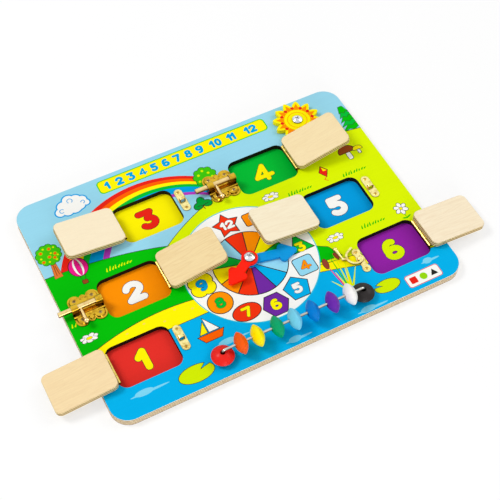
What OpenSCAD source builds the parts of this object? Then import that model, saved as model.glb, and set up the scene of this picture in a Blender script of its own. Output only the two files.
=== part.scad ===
// Wooden busy board: a printed front panel on a plain back panel, six hinged plywood doors with
// barrel bolts and swing hooks, a clock with two hands, a sun wheel, and nine beads on a wire.
// Millimetres. The board lies on its back: +X to the right, +Y to the far edge, +Z up.
// The origin is the middle of the back face.

/* [Board] */
// Width of the board, left to right
board_w = 400; // [380:1:430]
// Depth of the board, front edge to far edge
board_d = 289.5; // [280:0.5:310]
// Radius of the board's corners
board_corner_r = 20; // [8:1:26]
// Thickness of the printed front panel
front_t = 6.5; // [6:0.5:9]
// Thickness of the back panel
back_t = 3.5; // [3:0.5:6]

/* [Windows] */
// Width of a window
window_w = 70; // [66:1:74]
// Depth of a window, front to far edge
window_d = 50.4; // [46:0.4:54]
// Radius of a window's corners
window_corner_r = 10; // [6:0.5:14]
// Distance from one row of windows to the next
row_pitch = 78.4; // [76:0.4:82]
// How far the middle row lies behind the board's centre line (negative is in front)
middle_row_y = -7.2; // [-10:0.2:-4]
// How far the windows as a whole lie right of the board's middle
windows_x = 0.6; // [0:0.1:1]
// Centre of a front row window from the middle of its row
front_row_x = 146.2; // [144:0.1:150]
// Centre of a middle row window from the middle of its row
middle_row_x = 122.2; // [118:0.1:124]
// Centre of a back row window from the middle of its row
back_row_x = 70.6; // [69:0.1:74]

/* [Doors] */
// Thickness of a door
door_t = 6.2; // [5:0.1:6.3]
// Radius of a door's corners
door_corner_r = 6.5; // [4:0.5:12]
// Eased edge of a door
door_edge = 0.3; // [0.2:0.1:1]
// Gap between a door and its window on the hinge side
hinge_gap = 2; // [1.6:0.1:3]
// Gap between a door and its window on the latch side
free_gap = 1.2; // [0.8:0.1:2.5]
// Gap between a door and its window at the front and the far edge
side_gap = 1.7; // [0.8:0.1:2.5]
// Tilt of the open doors 1 to 6 above the board; the two over the board's ends droop
door_tilt = [-4.8, 9.8, 7.2, 12.6, 7.2, -5.2];

/* [Hinges] */
// Length of a hinge
hinge_l = 36; // [30:1:40]
// Width of one hinge leaf, from the pin
leaf_w = 8; // [7:0.5:10]
// Thickness of a hinge leaf
leaf_t = 0.8; // [0.6:0.1:1]
// Outer diameter of the hinge's knuckles
knuckle_d = 3.6; // [2.8:0.1:4]
// Diameter of the hinge pin
pin_d = 1.4; // [1.2:0.1:1.6]
// Height of the knuckles over the board
knuckle_lift = 0.15; // [0.1:0.05:0.4]
// Distance between the two screws of a leaf
leaf_screw_pitch = 22; // [18:1:26]

/* [Small screws] */
// Shank diameter of the small screws
screw_d = 2; // [1.6:0.1:2.4]
// Head diameter of the small screws
screw_head_d = 3.8; // [3.4:0.1:4.4]
// Length of the small screws under the plate's top
screw_l = 5.2; // [4:0.1:5.6]

/* [Barrel bolts] */
// Length of a bolt's case along the rod
case_l = 34; // [32:0.5:38]
// Depth of a bolt's case across the rod
case_d = 38; // [36:0.5:42]
// Thickness of the case's rim
case_t = 1.2; // [1:0.1:1.6]
// Height of the pressed field above the rim
case_rise = 1.6; // [1:0.1:2.2]
// Height of the rod's centre over the board
rod_h = 8.3; // [8:0.1:9]
// Diameter of the rod
rod_d = 5.8; // [4.8:0.1:6.2]
// Length of the rod
rod_l = 48.5; // [47:0.5:52]
// Length of a guide sleeve on the case
sleeve_l = 7.2; // [6:0.1:8]
// Outer diameter of a guide sleeve
sleeve_d = 8.8; // [8.4:0.1:9.4]
// Running clearance of the rod, on the radius
rod_play = 0.2; // [0.15:0.05:0.4]
// Reach of the side arm, from the rod's centre to the ball's
arm_reach = 18.6; // [16:0.2:20]
// Diameter of the ball on the side arm
ball_d = 6.4; // [5:0.2:7]
// Distance between the case and the window's edge
case_gap = 0.3; // [0.2:0.1:1]
// Width of a keeper along the rod
keeper_l = 8; // [6:0.5:9]
// Depth of a keeper across the rod
keeper_d = 27; // [24:1:32]
// Thickness of a keeper's strap
keeper_t = 1; // [0.8:0.1:1.2]
// Keeper's distance from the door's free edge
keeper_inset = 6; // [5:0.5:7]

/* [Swing hooks] */
// Thickness of the hooks' and the catches' plates
latch_plate_t = 1; // [0.8:0.1:1.2]
// Length of a hook's plate and of a catch
latch_plate_l = 31; // [28:1:34]
// Width of a hook's plate and of a catch
latch_plate_w = 9; // [7:0.2:9.4]
// Distance between the two screws of a plate
latch_screw_pitch = 22.6; // [20:0.2:25]
// Offset of the hooks' pivots and the catches from the windows' centre lines
latch_y = 2; // [0:0.5:4]
// Middle of a catch's plate behind its loop
catch_plate_y = 0.2; // [-2:0.1:2]
// Distance from a hook's pivot to the loop that it passes through
hook_reach = 15; // [14.6:0.1:15.4]
// Catch's distance from the window's edge
catch_inset = 7.5; // [6.8:0.1:8]
// Hook plate's distance from the window's edge, where it sits on the board
hook_inset = 5.2; // [5:0.1:7]
// Radius of the hook's curve, on its centre line
hook_r = 8.9; // [8.7:0.1:9.1]
// Width of the hook's strap
hook_w = 2.2; // [1.5:0.1:2.4]
// Thickness of the hook's strap
hook_t = 1.4; // [1.2:0.1:1.6]
// Diameter of the hook's pear-shaped grip
grip_d = 5.2; // [4.4:0.1:5.4]
// Height of the grip's centre over the plate's foot
grip_h = 5.5; // [5:0.1:5.8]
// Height of a catch's loop over its foot
loop_h = 4.7; // [4.5:0.1:5.2]
// Opening of a catch's loop, across the plate
loop_w = 5; // [4.8:0.1:5.4]
// Length of a catch's loop, along the plate
loop_l = 3; // [2.4:0.1:3.4]

/* [Clock] */
// Clock centre in front of the board's centre line
clock_y = -32; // [-36:0.5:-30]
// Clock centre right of the middle
clock_x = 1; // [-2:0.1:2]
// Thickness of the hands
hand_t = 3.1; // [2:0.1:3.2]
// Radius of a hand's hub
hub_r = 8.8; // [7.5:0.1:9.5]
// Length of the short hand, centre to tip
short_hand_l = 39; // [36:1:42]
// Length of the long hand, centre to tip
long_hand_l = 52; // [48:1:54]
// Width of a hand's spade
spade_w = 21.5; // [18:0.5:22]
// Angle of the short hand from +X
short_hand_turn = 211; // [200:1:230]
// Angle of the long hand from +X
long_hand_turn = -12; // [-30:1:5]

/* [Sun wheel] */
// Sun wheel's centre right of the middle
sun_x = 138.1; // [137.6:0.1:142]
// Distance of the sun wheel's centre from the board's far edge
sun_from_back = 31.4; // [30:0.1:33.6]
// Radius over the rays
sun_r = 28.2; // [24:0.2:28.4]
// Radius of the notches between the rays
sun_notch_r = 19.8; // [17:0.2:22]
// Thickness of the sun wheel
sun_t = 5.4; // [4:0.1:5.6]
// Number of rays
sun_rays = 12; // [10:1:14]
// Angle of the first ray from +X
sun_turn = 6; // [0:0.1:30]

/* [Large screws and washers] */
// Head diameter of the clock's and the sun wheel's screws
big_head_d = 11.5; // [10:0.5:12.5]
// Head height of these screws
big_head_h = 3.6; // [2.8:0.1:3.8]
// Shank diameter of these screws
big_screw_d = 4; // [3.5:0.1:4.5]
// Thickness of the washers
washer_t = 0.5; // [0.4:0.1:0.8]
// Outer diameter of the washers
washer_d = 10; // [9:0.5:12]
// Free play above a hand or the sun wheel
turn_play = 0.15; // [0.1:0.05:0.3]

/* [Beads] */
// Diameter of the wire
wire_d = 2.8; // [2.4:0.1:3.2]
// Distance of the wire from the board's front edge
wire_from_front = 20.7; // [18:0.1:24]
// Distance between the wire's two legs
wire_span = 162; // [160:1:168]
// Middle of the wire right of the board's middle
wire_x = 4.5; // [2:0.5:7]
// Height of the wire's centre over the board
wire_h = 16; // [15.6:0.2:18]
// Inner bend of the wire, on its centre line
wire_bend_r = 2.8; // [2.8:0.1:3]
// Diameter of a bead
bead_d = 24; // [22:0.5:24.5]
// Thickness of a bead through its hole
bead_t = 12.6; // [11:0.2:13]
// Diameter of a bead's hole
bead_hole_d = 5.4; // [4.6:0.1:6]
// Width of the blunted rim of a bead
bead_rim = 0.7; // [0.4:0.1:1.2]

/* [Hidden] */
$fn = 48;
ROOT_COUNT = 6;
board_top = back_t + front_t;
fit = 0.05;
seat = 0.02;

// Windows 1 to 6: their row, the half of the board they lie in, and the side of their hinge
window_row = [0, 1, 2, 2, 1, 0];
window_half = [-1, -1, -1, 1, 1, 1];
hinge_side = [-1, 1, -1, 1, -1, 1];
row_x = [front_row_x, middle_row_x, back_row_x];
function window_x(i) = windows_x + window_half[i] * row_x[window_row[i]];
function window_y(i) = middle_row_y + (window_row[i] - 1) * row_pitch;

// The frame of a door: x from the hinge pin towards the latch side, z from the board's face
pin_h = knuckle_d / 2 + knuckle_lift;
near_edge = -hinge_gap / 2;
far_edge = window_w - hinge_gap / 2;
door_l = window_w - hinge_gap - free_gap;
door_d = window_d - 2 * side_gap;
door_near = hinge_gap / 2;
door_far = door_near + door_l;

hinge_knuckles = 4;
knuckle_play = 0.2;
leaf_screw_x = leaf_w * 0.58;

// Bolt frame: x from the case's middle towards the door
case_x = far_edge + case_gap + case_l / 2;
arm_root_r = 1.8;
arm_tip_r = 2.2;
arm_x = -(case_l / 2 - sleeve_l - arm_root_r - 0.5);
rod_tip_x = case_l / 2 + 0.2;
case_screw_x = 9.8;
case_screw_y = 11.8;
case_lobe_r = case_l / 2 - case_screw_x;
keeper_x = door_far - keeper_inset - keeper_l / 2;
keeper_bore_r = rod_d / 2 + rod_play + 0.1;
keeper_top = rod_h + keeper_bore_r + keeper_t;
keeper_screw_y = keeper_d / 2 - 4;

// Hook frame: origin at the pivot, x towards the catch
boss_r = 3.4;
boss_t = 0.7;
rivet_r = 1.2;
rivet_head_r = 2.2;
rivet_head_t = 0.4;
hook_z = latch_plate_t + boss_t + 0.1;
curve_x = -4.5;
curve_y = 4.7;
tip_x = -2.8;
tip_y = 15.4;
stem_x = -17.6;
stem_y = 7.2;
curve_start = 110;
curve_sweep = 206;
loop_t = 0.9;

clock_stack = 2 * (washer_t + hand_t + turn_play);
sun_stack = washer_t + sun_t + turn_play;

wire_y = -board_d / 2 + wire_from_front;
wire_z = board_top + wire_h;
left_leg_x = wire_x - wire_span / 2;
right_leg_x = wire_x + wire_span / 2;
// Rest places of the seven middle beads, as shares of the wire between its legs
bead_places = [0.125, 0.24, 0.378, 0.501, 0.63, 0.77, 0.899];
bead_names = ["red", "orange", "yellow", "green", "light_blue", "blue", "purple", "white", "black"];
bead_paint = ["#dc231e", "#f05a0a", "#fff000", "#00a56e", "#82d2e6", "#0078c8", "#6e2daa", "#ebe6eb", "#2d2828"];
// A bead hangs with the top of its hole just clear of the wire
bead_drop = (bead_hole_d - wire_d) / 2 - 0.25;

birch = "#f0deb8";
edge_wood = "#d2bc92";
gold = "#d8a520";
brass = "#d9c77a";
steel = "#c8c8cc";

HOOK_DOORS = [0, 2, 4];
BOLT_DOORS = [1, 3];
HOOK_WINDOW = 5;
function id(i) = str(i + 1);

// ---------- frames ----------

module flip_x(on) {
    if (on) mirror([1, 0, 0]) children();
    else children();
}

// The frame of window i at its hinge pin, on the board's face
module at_hinge(i) {
    translate([window_x(i) + hinge_side[i] * (window_w - hinge_gap) / 2, window_y(i), board_top])
        flip_x(hinge_side[i] > 0) children();
}

// The same frame carried by the open door
module on_door(i) {
    at_hinge(i)
        translate([0, 0, pin_h]) rotate([0, door_tilt[i] - 180, 0]) translate([0, 0, -pin_h])
            children();
}

module at_bolt(i) {
    at_hinge(i) translate([case_x, 0, 0]) mirror([1, 0, 0]) children();
}

// The pivot of the hook that sits on a door, and of the one on the board
module at_door_hook(i) {
    on_door(i) translate([far_edge + catch_inset - hook_reach, latch_y, 0]) children();
}

module at_board_hook(i) {
    at_hinge(i) translate([far_edge + hook_inset, latch_y, 0]) mirror([1, 0, 0]) children();
}

// ---------- shared shapes ----------

module rounded_rect(w, d, r) {
    square([w - 2 * r, d], center = true);
    square([w, d - 2 * r], center = true);
    for (x = [-1, 1], y = [-1, 1])
        translate([x * (w / 2 - r), y * (d / 2 - r)]) circle(r);
}

module rounded_slab(w, d, h, r) {
    linear_extrude(h) rounded_rect(w, d, r);
}

// A slab with both faces' edges eased
module eased_slab(w, d, h, r, edge) {
    hull() {
        translate([0, 0, edge]) rounded_slab(w, d, h - 2 * edge, r, $fn = 32);
        rounded_slab(w - 2 * edge, d - 2 * edge, h, r - edge, $fn = 32);
    }
}

module tube(r_out, r_in, h) {
    difference() {
        cylinder(h = h, r = r_out);
        translate([0, 0, -1]) cylinder(h = h + 2, r = r_in);
    }
}

module cross_slot(size, depth) {
    for (a = [45, 135]) rotate([0, 0, a])
        translate([-size / 2, -size / 10, -depth]) cube([size, size / 5, depth + 1]);
}

// Oval-head wood screw, its origin on the top of the plate that it holds
module small_screw() {
    difference() {
        union() {
            translate([0, 0, -screw_l]) cylinder(h = screw_l, r = screw_d / 2);
            translate([0, 0, -0.7]) cylinder(h = 0.7, r1 = screw_d / 2, r2 = screw_head_d / 2);
            cylinder(h = 0.3, r1 = screw_head_d / 2, r2 = screw_head_d / 2 - 0.5);
        }
        translate([0, 0, 0.3]) cross_slot(screw_head_d * 0.6, 0.5);
    }
}

// What the screw needs in its plate and in the wood
module small_screw_hole() {
    translate([0, 0, -screw_l - fit]) cylinder(h = screw_l + 1, r = screw_d / 2 + fit);
    translate([0, 0, -0.7 - fit]) cylinder(h = 0.7 + fit, r1 = screw_d / 2 + fit, r2 = screw_head_d / 2 + fit);
    cylinder(h = 1, r = screw_head_d / 2 + fit);
}

module leaf_screw_places() {
    for (y = [-1, 1]) translate([leaf_screw_x, y * leaf_screw_pitch / 2, leaf_t]) children();
}

module board_leaf_screw_places(i) {
    at_hinge(i) mirror([1, 0, 0]) leaf_screw_places() children();
}

module latch_screw_places() {
    for (y = [-1, 1])
        translate([0, y * latch_screw_pitch / 2 - latch_y, latch_plate_t]) children();
}

module catch_screw_places() {
    for (y = [-1, 1])
        translate([0, y * latch_screw_pitch / 2 + catch_plate_y, latch_plate_t]) children();
}

module keeper_screw_places() {
    for (y = [-1, 1]) translate([keeper_x, y * keeper_screw_y, keeper_t]) children();
}

module case_screw_places() {
    for (x = [-1, 1], y = [-1, 1])
        translate([x * case_screw_x, y * case_screw_y, case_t + case_rise]) children();
}

module catch_place() {
    translate([far_edge + catch_inset, latch_y, 0]) children();
}

// Door 6 holds its catch where the board's hook reaches it
module door_catch_place() {
    translate([far_edge + hook_inset - hook_reach, latch_y, 0]) mirror([1, 0, 0]) children();
}

// ---------- panels ----------

module back_panel() {
    color(edge_wood) rounded_slab(board_w, board_d, back_t, board_corner_r);
}

module front_panel() {
    color(edge_wood) difference() {
        translate([0, 0, back_t]) rounded_slab(board_w, board_d, front_t, board_corner_r);
        for (i = [0 : 5]) {
            translate([window_x(i), window_y(i), back_t - 1])
                rounded_slab(window_w, window_d, front_t + 2, window_corner_r);
            board_leaf_screw_places(i) small_screw_hole();
        }
        for (i = HOOK_DOORS) at_hinge(i) catch_place() catch_screw_places() small_screw_hole();
        for (i = BOLT_DOORS) at_bolt(i) case_screw_places() case_screw_hole();
        at_board_hook(HOOK_WINDOW) latch_screw_places() small_screw_hole();
        for (x = [left_leg_x, right_leg_x])
            translate([x, wire_y, back_t - 1]) cylinder(h = front_t + 2, r = wire_d / 2 + fit);
        clock_place() big_screw_hole();
        sun_place() big_screw_hole();
    }
}

module clock_place() {
    translate([clock_x, clock_y, board_top]) children();
}

module sun_place() {
    translate([sun_x, board_d / 2 - sun_from_back, board_top]) children();
}

module big_screw_hole() {
    translate([0, 0, -front_t - 1]) cylinder(h = front_t + 2, r = big_screw_d / 2 + fit);
}

// ---------- doors ----------

module door(i) {
    color(birch) on_door(i) difference() {
        translate([door_near + door_l / 2, 0, -door_t])
            eased_slab(door_l, door_d, door_t, door_corner_r, door_edge);
        door_screw_places(i) small_screw_hole();
    }
}

// Every screw that goes into door i from its front
module door_screw_places(i) {
    leaf_screw_places() children();
    if (i == BOLT_DOORS[0] || i == BOLT_DOORS[1]) keeper_screw_places() children();
    else if (i == HOOK_WINDOW) door_catch_place() catch_screw_places() children();
    else translate([far_edge + catch_inset - hook_reach, latch_y, 0]) latch_screw_places() children();
}

module door_screws(i) {
    color(brass) on_door(i) door_screw_places(i) small_screw();
}

// ---------- hinges ----------

// One leaf, flat from the pin along x, with every second knuckle; first is 0 or 1
module hinge_leaf(first) {
    pitch = hinge_l / hinge_knuckles;
    notch = knuckle_d / 2 + knuckle_play;
    difference() {
        union() {
            translate([notch, -hinge_l / 2, seat]) cube([leaf_w - notch, hinge_l, leaf_t - seat]);
            for (k = [first : 2 : hinge_knuckles - 1])
                translate([0, -hinge_l / 2 + k * pitch + knuckle_play / 2, 0]) {
                    translate([0, 0, seat]) cube([notch + 0.5, pitch - knuckle_play, leaf_t - seat]);
                    translate([0, 0, pin_h]) rotate([-90, 0, 0])
                        cylinder(h = pitch - knuckle_play, r = knuckle_d / 2);
                }
        }
        translate([0, -hinge_l / 2 - 1, pin_h]) rotate([-90, 0, 0])
            cylinder(h = hinge_l + 2, r = pin_d / 2 + fit);
        leaf_screw_places() small_screw_hole();
    }
}

module hinge_board_leaves() {
    color(brass) for (i = [0 : 5]) at_hinge(i) mirror([1, 0, 0]) hinge_leaf(0);
}

module hinge_door_leaf(i) {
    color(brass) on_door(i) hinge_leaf(1);
}

module hinge_pins() {
    color(brass) for (i = [0 : 5]) at_hinge(i)
        translate([0, -hinge_l / 2 - 0.3, pin_h]) rotate([-90, 0, 0])
            cylinder(h = hinge_l + 0.6, r = pin_d / 2);
}

module board_screws() {
    color(brass) {
        for (i = [0 : 5]) board_leaf_screw_places(i) small_screw();
        for (i = HOOK_DOORS) at_hinge(i) catch_place() catch_screw_places() small_screw();
        at_board_hook(HOOK_WINDOW) latch_screw_places() small_screw();
    }
}

// ---------- barrel bolts ----------

// Scalloped outline of the pressed case, drawn in by inset
module case_outline(inset) {
    square([case_l - 2 * inset, 2 * case_screw_y], center = true);
    for (x = [-1, 1], y = [-1, 1])
        translate([x * case_screw_x, y * (case_d / 2 - case_lobe_r)]) circle(case_lobe_r - inset);
    for (y = [-1, 1]) translate([0, y * (case_d / 2 - 5.4)]) circle(3.6 - inset * 0.8);
}

module case_screw_hole() {
    translate([0, 0, -screw_l - case_rise]) cylinder(h = screw_l + case_rise + 1, r = screw_d / 2 + fit);
    translate([0, 0, -0.7 - fit]) cylinder(h = 0.7 + fit, r1 = screw_d / 2 + fit, r2 = screw_head_d / 2 + fit);
    cylinder(h = 1, r = screw_head_d / 2 + fit);
}

module bolt_case(i) {
    rib_y = sleeve_d / 2 + 2.2;
    color(gold) at_bolt(i) difference() {
        union() {
            translate([0, 0, seat]) linear_extrude(case_t - seat) case_outline(0);
            translate([0, 0, case_t]) linear_extrude(case_rise, scale = 0.94) case_outline(1.6);
            for (y = [-rib_y, rib_y])
                translate([-case_l / 2, y, case_t + 0.9]) rotate([0, 90, 0]) cylinder(h = case_l, r = 1.3);
            for (x = [-case_l / 2, case_l / 2 - sleeve_l]) translate([x, 0, 0]) {
                translate([0, 0, rod_h]) rotate([0, 90, 0]) cylinder(h = sleeve_l, r = sleeve_d / 2);
                translate([0, -sleeve_d / 2, case_t]) cube([sleeve_l, sleeve_d, rod_h - case_t]);
            }
        }
        translate([-case_l / 2 - 1, 0, rod_h]) rotate([0, 90, 0])
            cylinder(h = case_l + 2, r = rod_d / 2 + rod_play);
        // the slot in the pressed channel behind the rod
        translate([-(case_l / 2 - sleeve_l), -1, case_t + 0.4])
            cube([case_l - 2 * sleeve_l, sleeve_d / 2 - 0.6, case_rise + 2]);
        case_screw_places() case_screw_hole();
    }
}

module bolt_rod(i) {
    color(gold) at_bolt(i) difference() {
        translate([rod_tip_x - rod_l, 0, rod_h]) rotate([0, 90, 0]) {
            translate([0, 0, 0.6]) cylinder(h = rod_l - 1.2, r = rod_d / 2);
            cylinder(h = 0.6, r1 = rod_d / 2 - 0.6, r2 = rod_d / 2);
            translate([0, 0, rod_l - 0.6]) cylinder(h = 0.6, r1 = rod_d / 2, r2 = rod_d / 2 - 0.6);
        }
        translate([arm_x, 0, rod_h]) rotate([90, 0, 0]) cylinder(h = rod_d, r = 1 + fit);
    }
}

module bolt_knob(i) {
    color(gold) at_bolt(i) translate([arm_x, 0, rod_h]) rotate([90, 0, 0]) {
        translate([0, 0, 0.3]) cylinder(h = rod_d / 2, r = 1);
        translate([0, 0, rod_d / 2]) cylinder(h = arm_reach - rod_d / 2, r1 = arm_root_r - 0.2, r2 = arm_tip_r);
        translate([0, 0, arm_reach]) sphere(ball_d / 2);
    }
}

module keeper(i) {
    color(gold) on_door(i) difference() {
        union() {
            translate([keeper_x, 0, seat]) rounded_slab(keeper_l, keeper_d, keeper_t - seat, keeper_l / 2 - 0.2);
            translate([keeper_x - keeper_l / 2, 0, rod_h]) rotate([0, 90, 0])
                cylinder(h = keeper_l, r = keeper_bore_r + keeper_t);
            translate([keeper_x - keeper_l / 2, -keeper_bore_r - keeper_t, seat])
                cube([keeper_l, 2 * (keeper_bore_r + keeper_t), rod_h - seat]);
        }
        translate([keeper_x - keeper_l, 0, rod_h]) rotate([0, 90, 0])
            cylinder(h = 2 * keeper_l, r = keeper_bore_r);
        translate([keeper_x - keeper_l, -keeper_bore_r, -1])
            cube([2 * keeper_l, 2 * keeper_bore_r, rod_h + 1]);
        keeper_screw_places() small_screw_hole();
    }
}

module bolt_screws() {
    color(gold) for (i = BOLT_DOORS) at_bolt(i) case_screw_places() small_screw();
}

// ---------- swing hooks ----------

module hook_plate() {
    r = latch_plate_w / 2;
    difference() {
        union() {
            for (y = [-1, 1]) translate([0, y * latch_screw_pitch / 2 - latch_y, seat])
                cylinder(h = latch_plate_t - seat, r = r);
            translate([-r * 0.75, -latch_screw_pitch / 2 - latch_y, seat])
                cube([r * 1.5, latch_screw_pitch, latch_plate_t - seat]);
            translate([0, 0, seat]) cylinder(h = latch_plate_t - seat, r = r + 0.2);
            cylinder(h = latch_plate_t + boss_t, r = boss_r - 0.4);
        }
        translate([0, 0, -1]) cylinder(h = latch_plate_t + boss_t + 2, r = rivet_r + fit);
        translate([0, 0, -1]) cylinder(h = 1 + seat, r = boss_r);
        latch_screw_places() small_screw_hole();
    }
    hook_rivet();
}

module hook_rivet() {
    top = hook_z + hook_t + 0.1;
    translate([0, 0, 2 * seat]) cylinder(h = top, r = rivet_r);
    translate([0, 0, top]) cylinder(h = rivet_head_t, r1 = rivet_head_r, r2 = rivet_head_r - 0.6);
}

// The strap seen from above: most of a ring, and the straight tip of its mouth
module strap_outline() {
    r = hook_r + hook_w;
    turn_back = curve_start + curve_sweep;
    root = [hook_r * cos(curve_start), hook_r * sin(curve_start)];
    tip = [tip_x - curve_x, tip_y - curve_y];
    translate([curve_x, curve_y]) {
        difference() {
            circle(hook_r + hook_w / 2);
            circle(hook_r - hook_w / 2);
            polygon([[0, 0], 2 * r * [cos(turn_back), sin(turn_back)],
                2 * r * [cos(curve_start - 70), sin(curve_start - 70)], 2 * r * [cos(curve_start), sin(curve_start)]]);
        }
        translate(root) rotate(atan2(tip[1] - root[1], tip[0] - root[0])) {
            translate([-0.3, -hook_w / 2]) square([norm(tip - root) + 0.3, hook_w]);
            translate([norm(tip - root), 0]) circle(hook_w / 2);
        }
    }
    circle(boss_r);
    // the flat root of the grip's stem
    root_x = curve_x - hook_r;
    translate([root_x, curve_y]) rotate(atan2(stem_y - curve_y, stem_x - root_x))
        translate([0, -1.1]) square([norm([stem_x - root_x, stem_y - curve_y]), 2.2]);
    translate([stem_x, stem_y]) circle(1.5);
}

module hook_arm() {
    difference() {
        union() {
            translate([0, 0, hook_z]) linear_extrude(hook_t) strap_outline();
            hook_grip();
        }
        translate([0, 0, -1]) cylinder(h = hook_z + hook_t + 2, r = rivet_r + fit);
    }
}

// The grip: a straight tapered stem that rises from the strap to a pear-shaped end
module hook_grip() {
    foot = [stem_x, stem_y, hook_z + hook_t / 2];
    end = [-20, 19.8, grip_h];
    v = end - foot;
    translate(foot) rotate([0, acos(v[2] / norm(v)), atan2(v[1], v[0])])
        cylinder(h = norm(v), r1 = 0.9, r2 = grip_d / 2 * 0.84);
    translate(end) sphere(grip_d / 2);
}

// Arched outline, open at its foot, for a loop that is pressed up out of a plate
module arch_outline(w, h, r) {
    translate([-w / 2, 0]) square([w, h - r]);
    translate([-w / 2 + r, 0]) square([w - 2 * r, h]);
    for (x = [-1, 1]) translate([x * (w / 2 - r), h - r]) circle(r);
}

// A catch: a plate with a loop that the hook's curve passes under
module catch_plate() {
    r = latch_plate_w / 2;
    difference() {
        union() {
            translate([0, catch_plate_y, seat])
                rounded_slab(latch_plate_w, latch_plate_l, latch_plate_t - seat, r - 0.1);
            translate([0, loop_l / 2, seat]) rotate([90, 0, 0])
                linear_extrude(loop_l) arch_outline(loop_w + 2 * loop_t, loop_h - seat, 1.8);
        }
        translate([0, loop_l / 2 + 1, -1]) rotate([90, 0, 0])
            linear_extrude(loop_l + 2) arch_outline(loop_w, loop_h - loop_t + 1, 1);
        translate([-loop_w / 2, -loop_l / 2 - 0.8, -1]) cube([loop_w, loop_l + 1, latch_plate_t + 2]);
        catch_screw_places() small_screw_hole();
    }
}

// ---------- clock ----------

// Hand outline along +x: hub, neck and a spade with two shoulders
module hand_outline(l) {
    shoulder_x = l - 15.5;
    lobe = 4.6;
    circle(hub_r);
    translate([0, -5.2]) square([shoulder_x, 10.4]);
    for (y = [-1, 1]) translate([shoulder_x, y * (spade_w / 2 - lobe)]) circle(lobe);
    tip_r = 3;
    polygon([
        [shoulder_x - lobe, -spade_w / 2 + lobe], [shoulder_x + 1.4, -spade_w / 2 + 0.3],
        [l - tip_r + 1.2, -tip_r * 0.92], [l - tip_r + 1.2, tip_r * 0.92],
        [shoulder_x + 1.4, spade_w / 2 - 0.3], [shoulder_x - lobe, spade_w / 2 - lobe]
    ]);
    translate([l - tip_r, 0]) circle(tip_r);
}

module clock_hand(l, turn, z) {
    clock_place() translate([0, 0, z]) rotate([0, 0, turn]) linear_extrude(hand_t) difference() {
        hand_outline(l);
        circle(big_screw_d / 2 + 0.2);
    }
}

module long_hand() {
    color("#0091e1") clock_hand(long_hand_l, long_hand_turn, washer_t + turn_play / 2);
}

module short_hand() {
    color("#ff1e00")
        clock_hand(short_hand_l, short_hand_turn, 2 * washer_t + hand_t + 1.5 * turn_play);
}

// ---------- sun wheel ----------

// Radius of the outline at turn a: rounded rays that meet in sharp notches
function sun_radius(a) =
    let (phase = a * sun_rays / 180, t = phase - 2 * floor((phase + 1) / 2))
    sun_notch_r + (sun_r - sun_notch_r) * (1 - pow(abs(t), 1.3));

module sun_wheel() {
    steps = sun_rays * 16;
    color("#fff000") sun_place() translate([0, 0, washer_t + turn_play / 2]) rotate([0, 0, sun_turn])
        linear_extrude(sun_t) difference() {
            polygon([for (k = [0 : steps - 1]) let (a = k * 360 / steps)
                [sun_radius(a) * cos(a), sun_radius(a) * sin(a)]]);
            circle(big_screw_d / 2 + 0.2);
        }
}

// ---------- large screws and washers ----------

// Pan-head screw standing in the board, its head's underside at height h over the face
module big_screw(h) {
    r = big_head_d / 2;
    difference() {
        union() {
            translate([0, 0, -front_t + 0.5]) cylinder(h = h + front_t, r = big_screw_d / 2);
            translate([0, 0, h]) cylinder(h = big_head_h * 0.4, r = r);
            translate([0, 0, h + big_head_h * 0.4]) intersection() {
                translate([0, 0, big_head_h * 0.6 - dome_r()]) sphere(dome_r(), $fn = 64);
                cylinder(h = big_head_h, r = r);
            }
        }
        translate([0, 0, h + big_head_h]) cross_slot(big_head_d * 0.46, 1.6);
    }
}

// Radius of the sphere whose cap makes the head's dome
function dome_r() = let (rise = big_head_h * 0.6, r = big_head_d / 2) (r * r + rise * rise) / (2 * rise);

module disc_screws() {
    color(steel) {
        clock_place() big_screw(clock_stack);
        sun_place() big_screw(sun_stack);
    }
}

module washer(z) {
    translate([0, 0, z]) tube(washer_d / 2, big_screw_d / 2 + fit, washer_t);
}

module disc_washers() {
    color(steel) {
        clock_place() {
            washer(seat);
            washer(washer_t + hand_t + turn_play);
        }
        sun_place() washer(seat);
    }
}

// ---------- wire and beads ----------

module wire_bend() {
    rotate([90, 0, 0]) rotate_extrude(angle = 90) translate([wire_bend_r, 0]) circle(wire_d / 2);
}

module bead_wire() {
    leg = board_top - back_t + wire_h - wire_bend_r - 0.2;
    color(steel) translate([0, wire_y, 0]) {
        for (x = [left_leg_x, right_leg_x])
            translate([x, 0, back_t + 0.2]) cylinder(h = leg, r = wire_d / 2);
        translate([left_leg_x + wire_bend_r, 0, wire_z]) rotate([0, 90, 0])
            cylinder(h = wire_span - 2 * wire_bend_r, r = wire_d / 2);
        translate([right_leg_x - wire_bend_r, 0, wire_z - wire_bend_r]) wire_bend();
        translate([left_leg_x + wire_bend_r, 0, wire_z - wire_bend_r]) mirror([1, 0, 0]) wire_bend();
    }
}

// A lens-shaped bead about z: two spherical caps with a blunted rim
module bead_shape() {
    half = bead_t / 2;
    rim_r = bead_d / 2;
    rim_h = bead_rim / 2;
    hole_r = bead_hole_d / 2;
    // each cap's centre lies beyond the middle so that it meets both the rim and the hole's edge
    below = (rim_r * rim_r - hole_r * hole_r + rim_h * rim_h - half * half) / (2 * (half - rim_h));
    cap_r = norm([rim_r, rim_h + below]);
    difference() {
        intersection() {
            translate([0, 0, -below]) sphere(cap_r, $fn = 96);
            translate([0, 0, below]) sphere(cap_r, $fn = 96);
            translate([0, 0, -bead_t]) cylinder(h = 2 * bead_t, r = rim_r);
        }
        translate([0, 0, -bead_t]) cylinder(h = 2 * bead_t, r = hole_r);
    }
}

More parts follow.
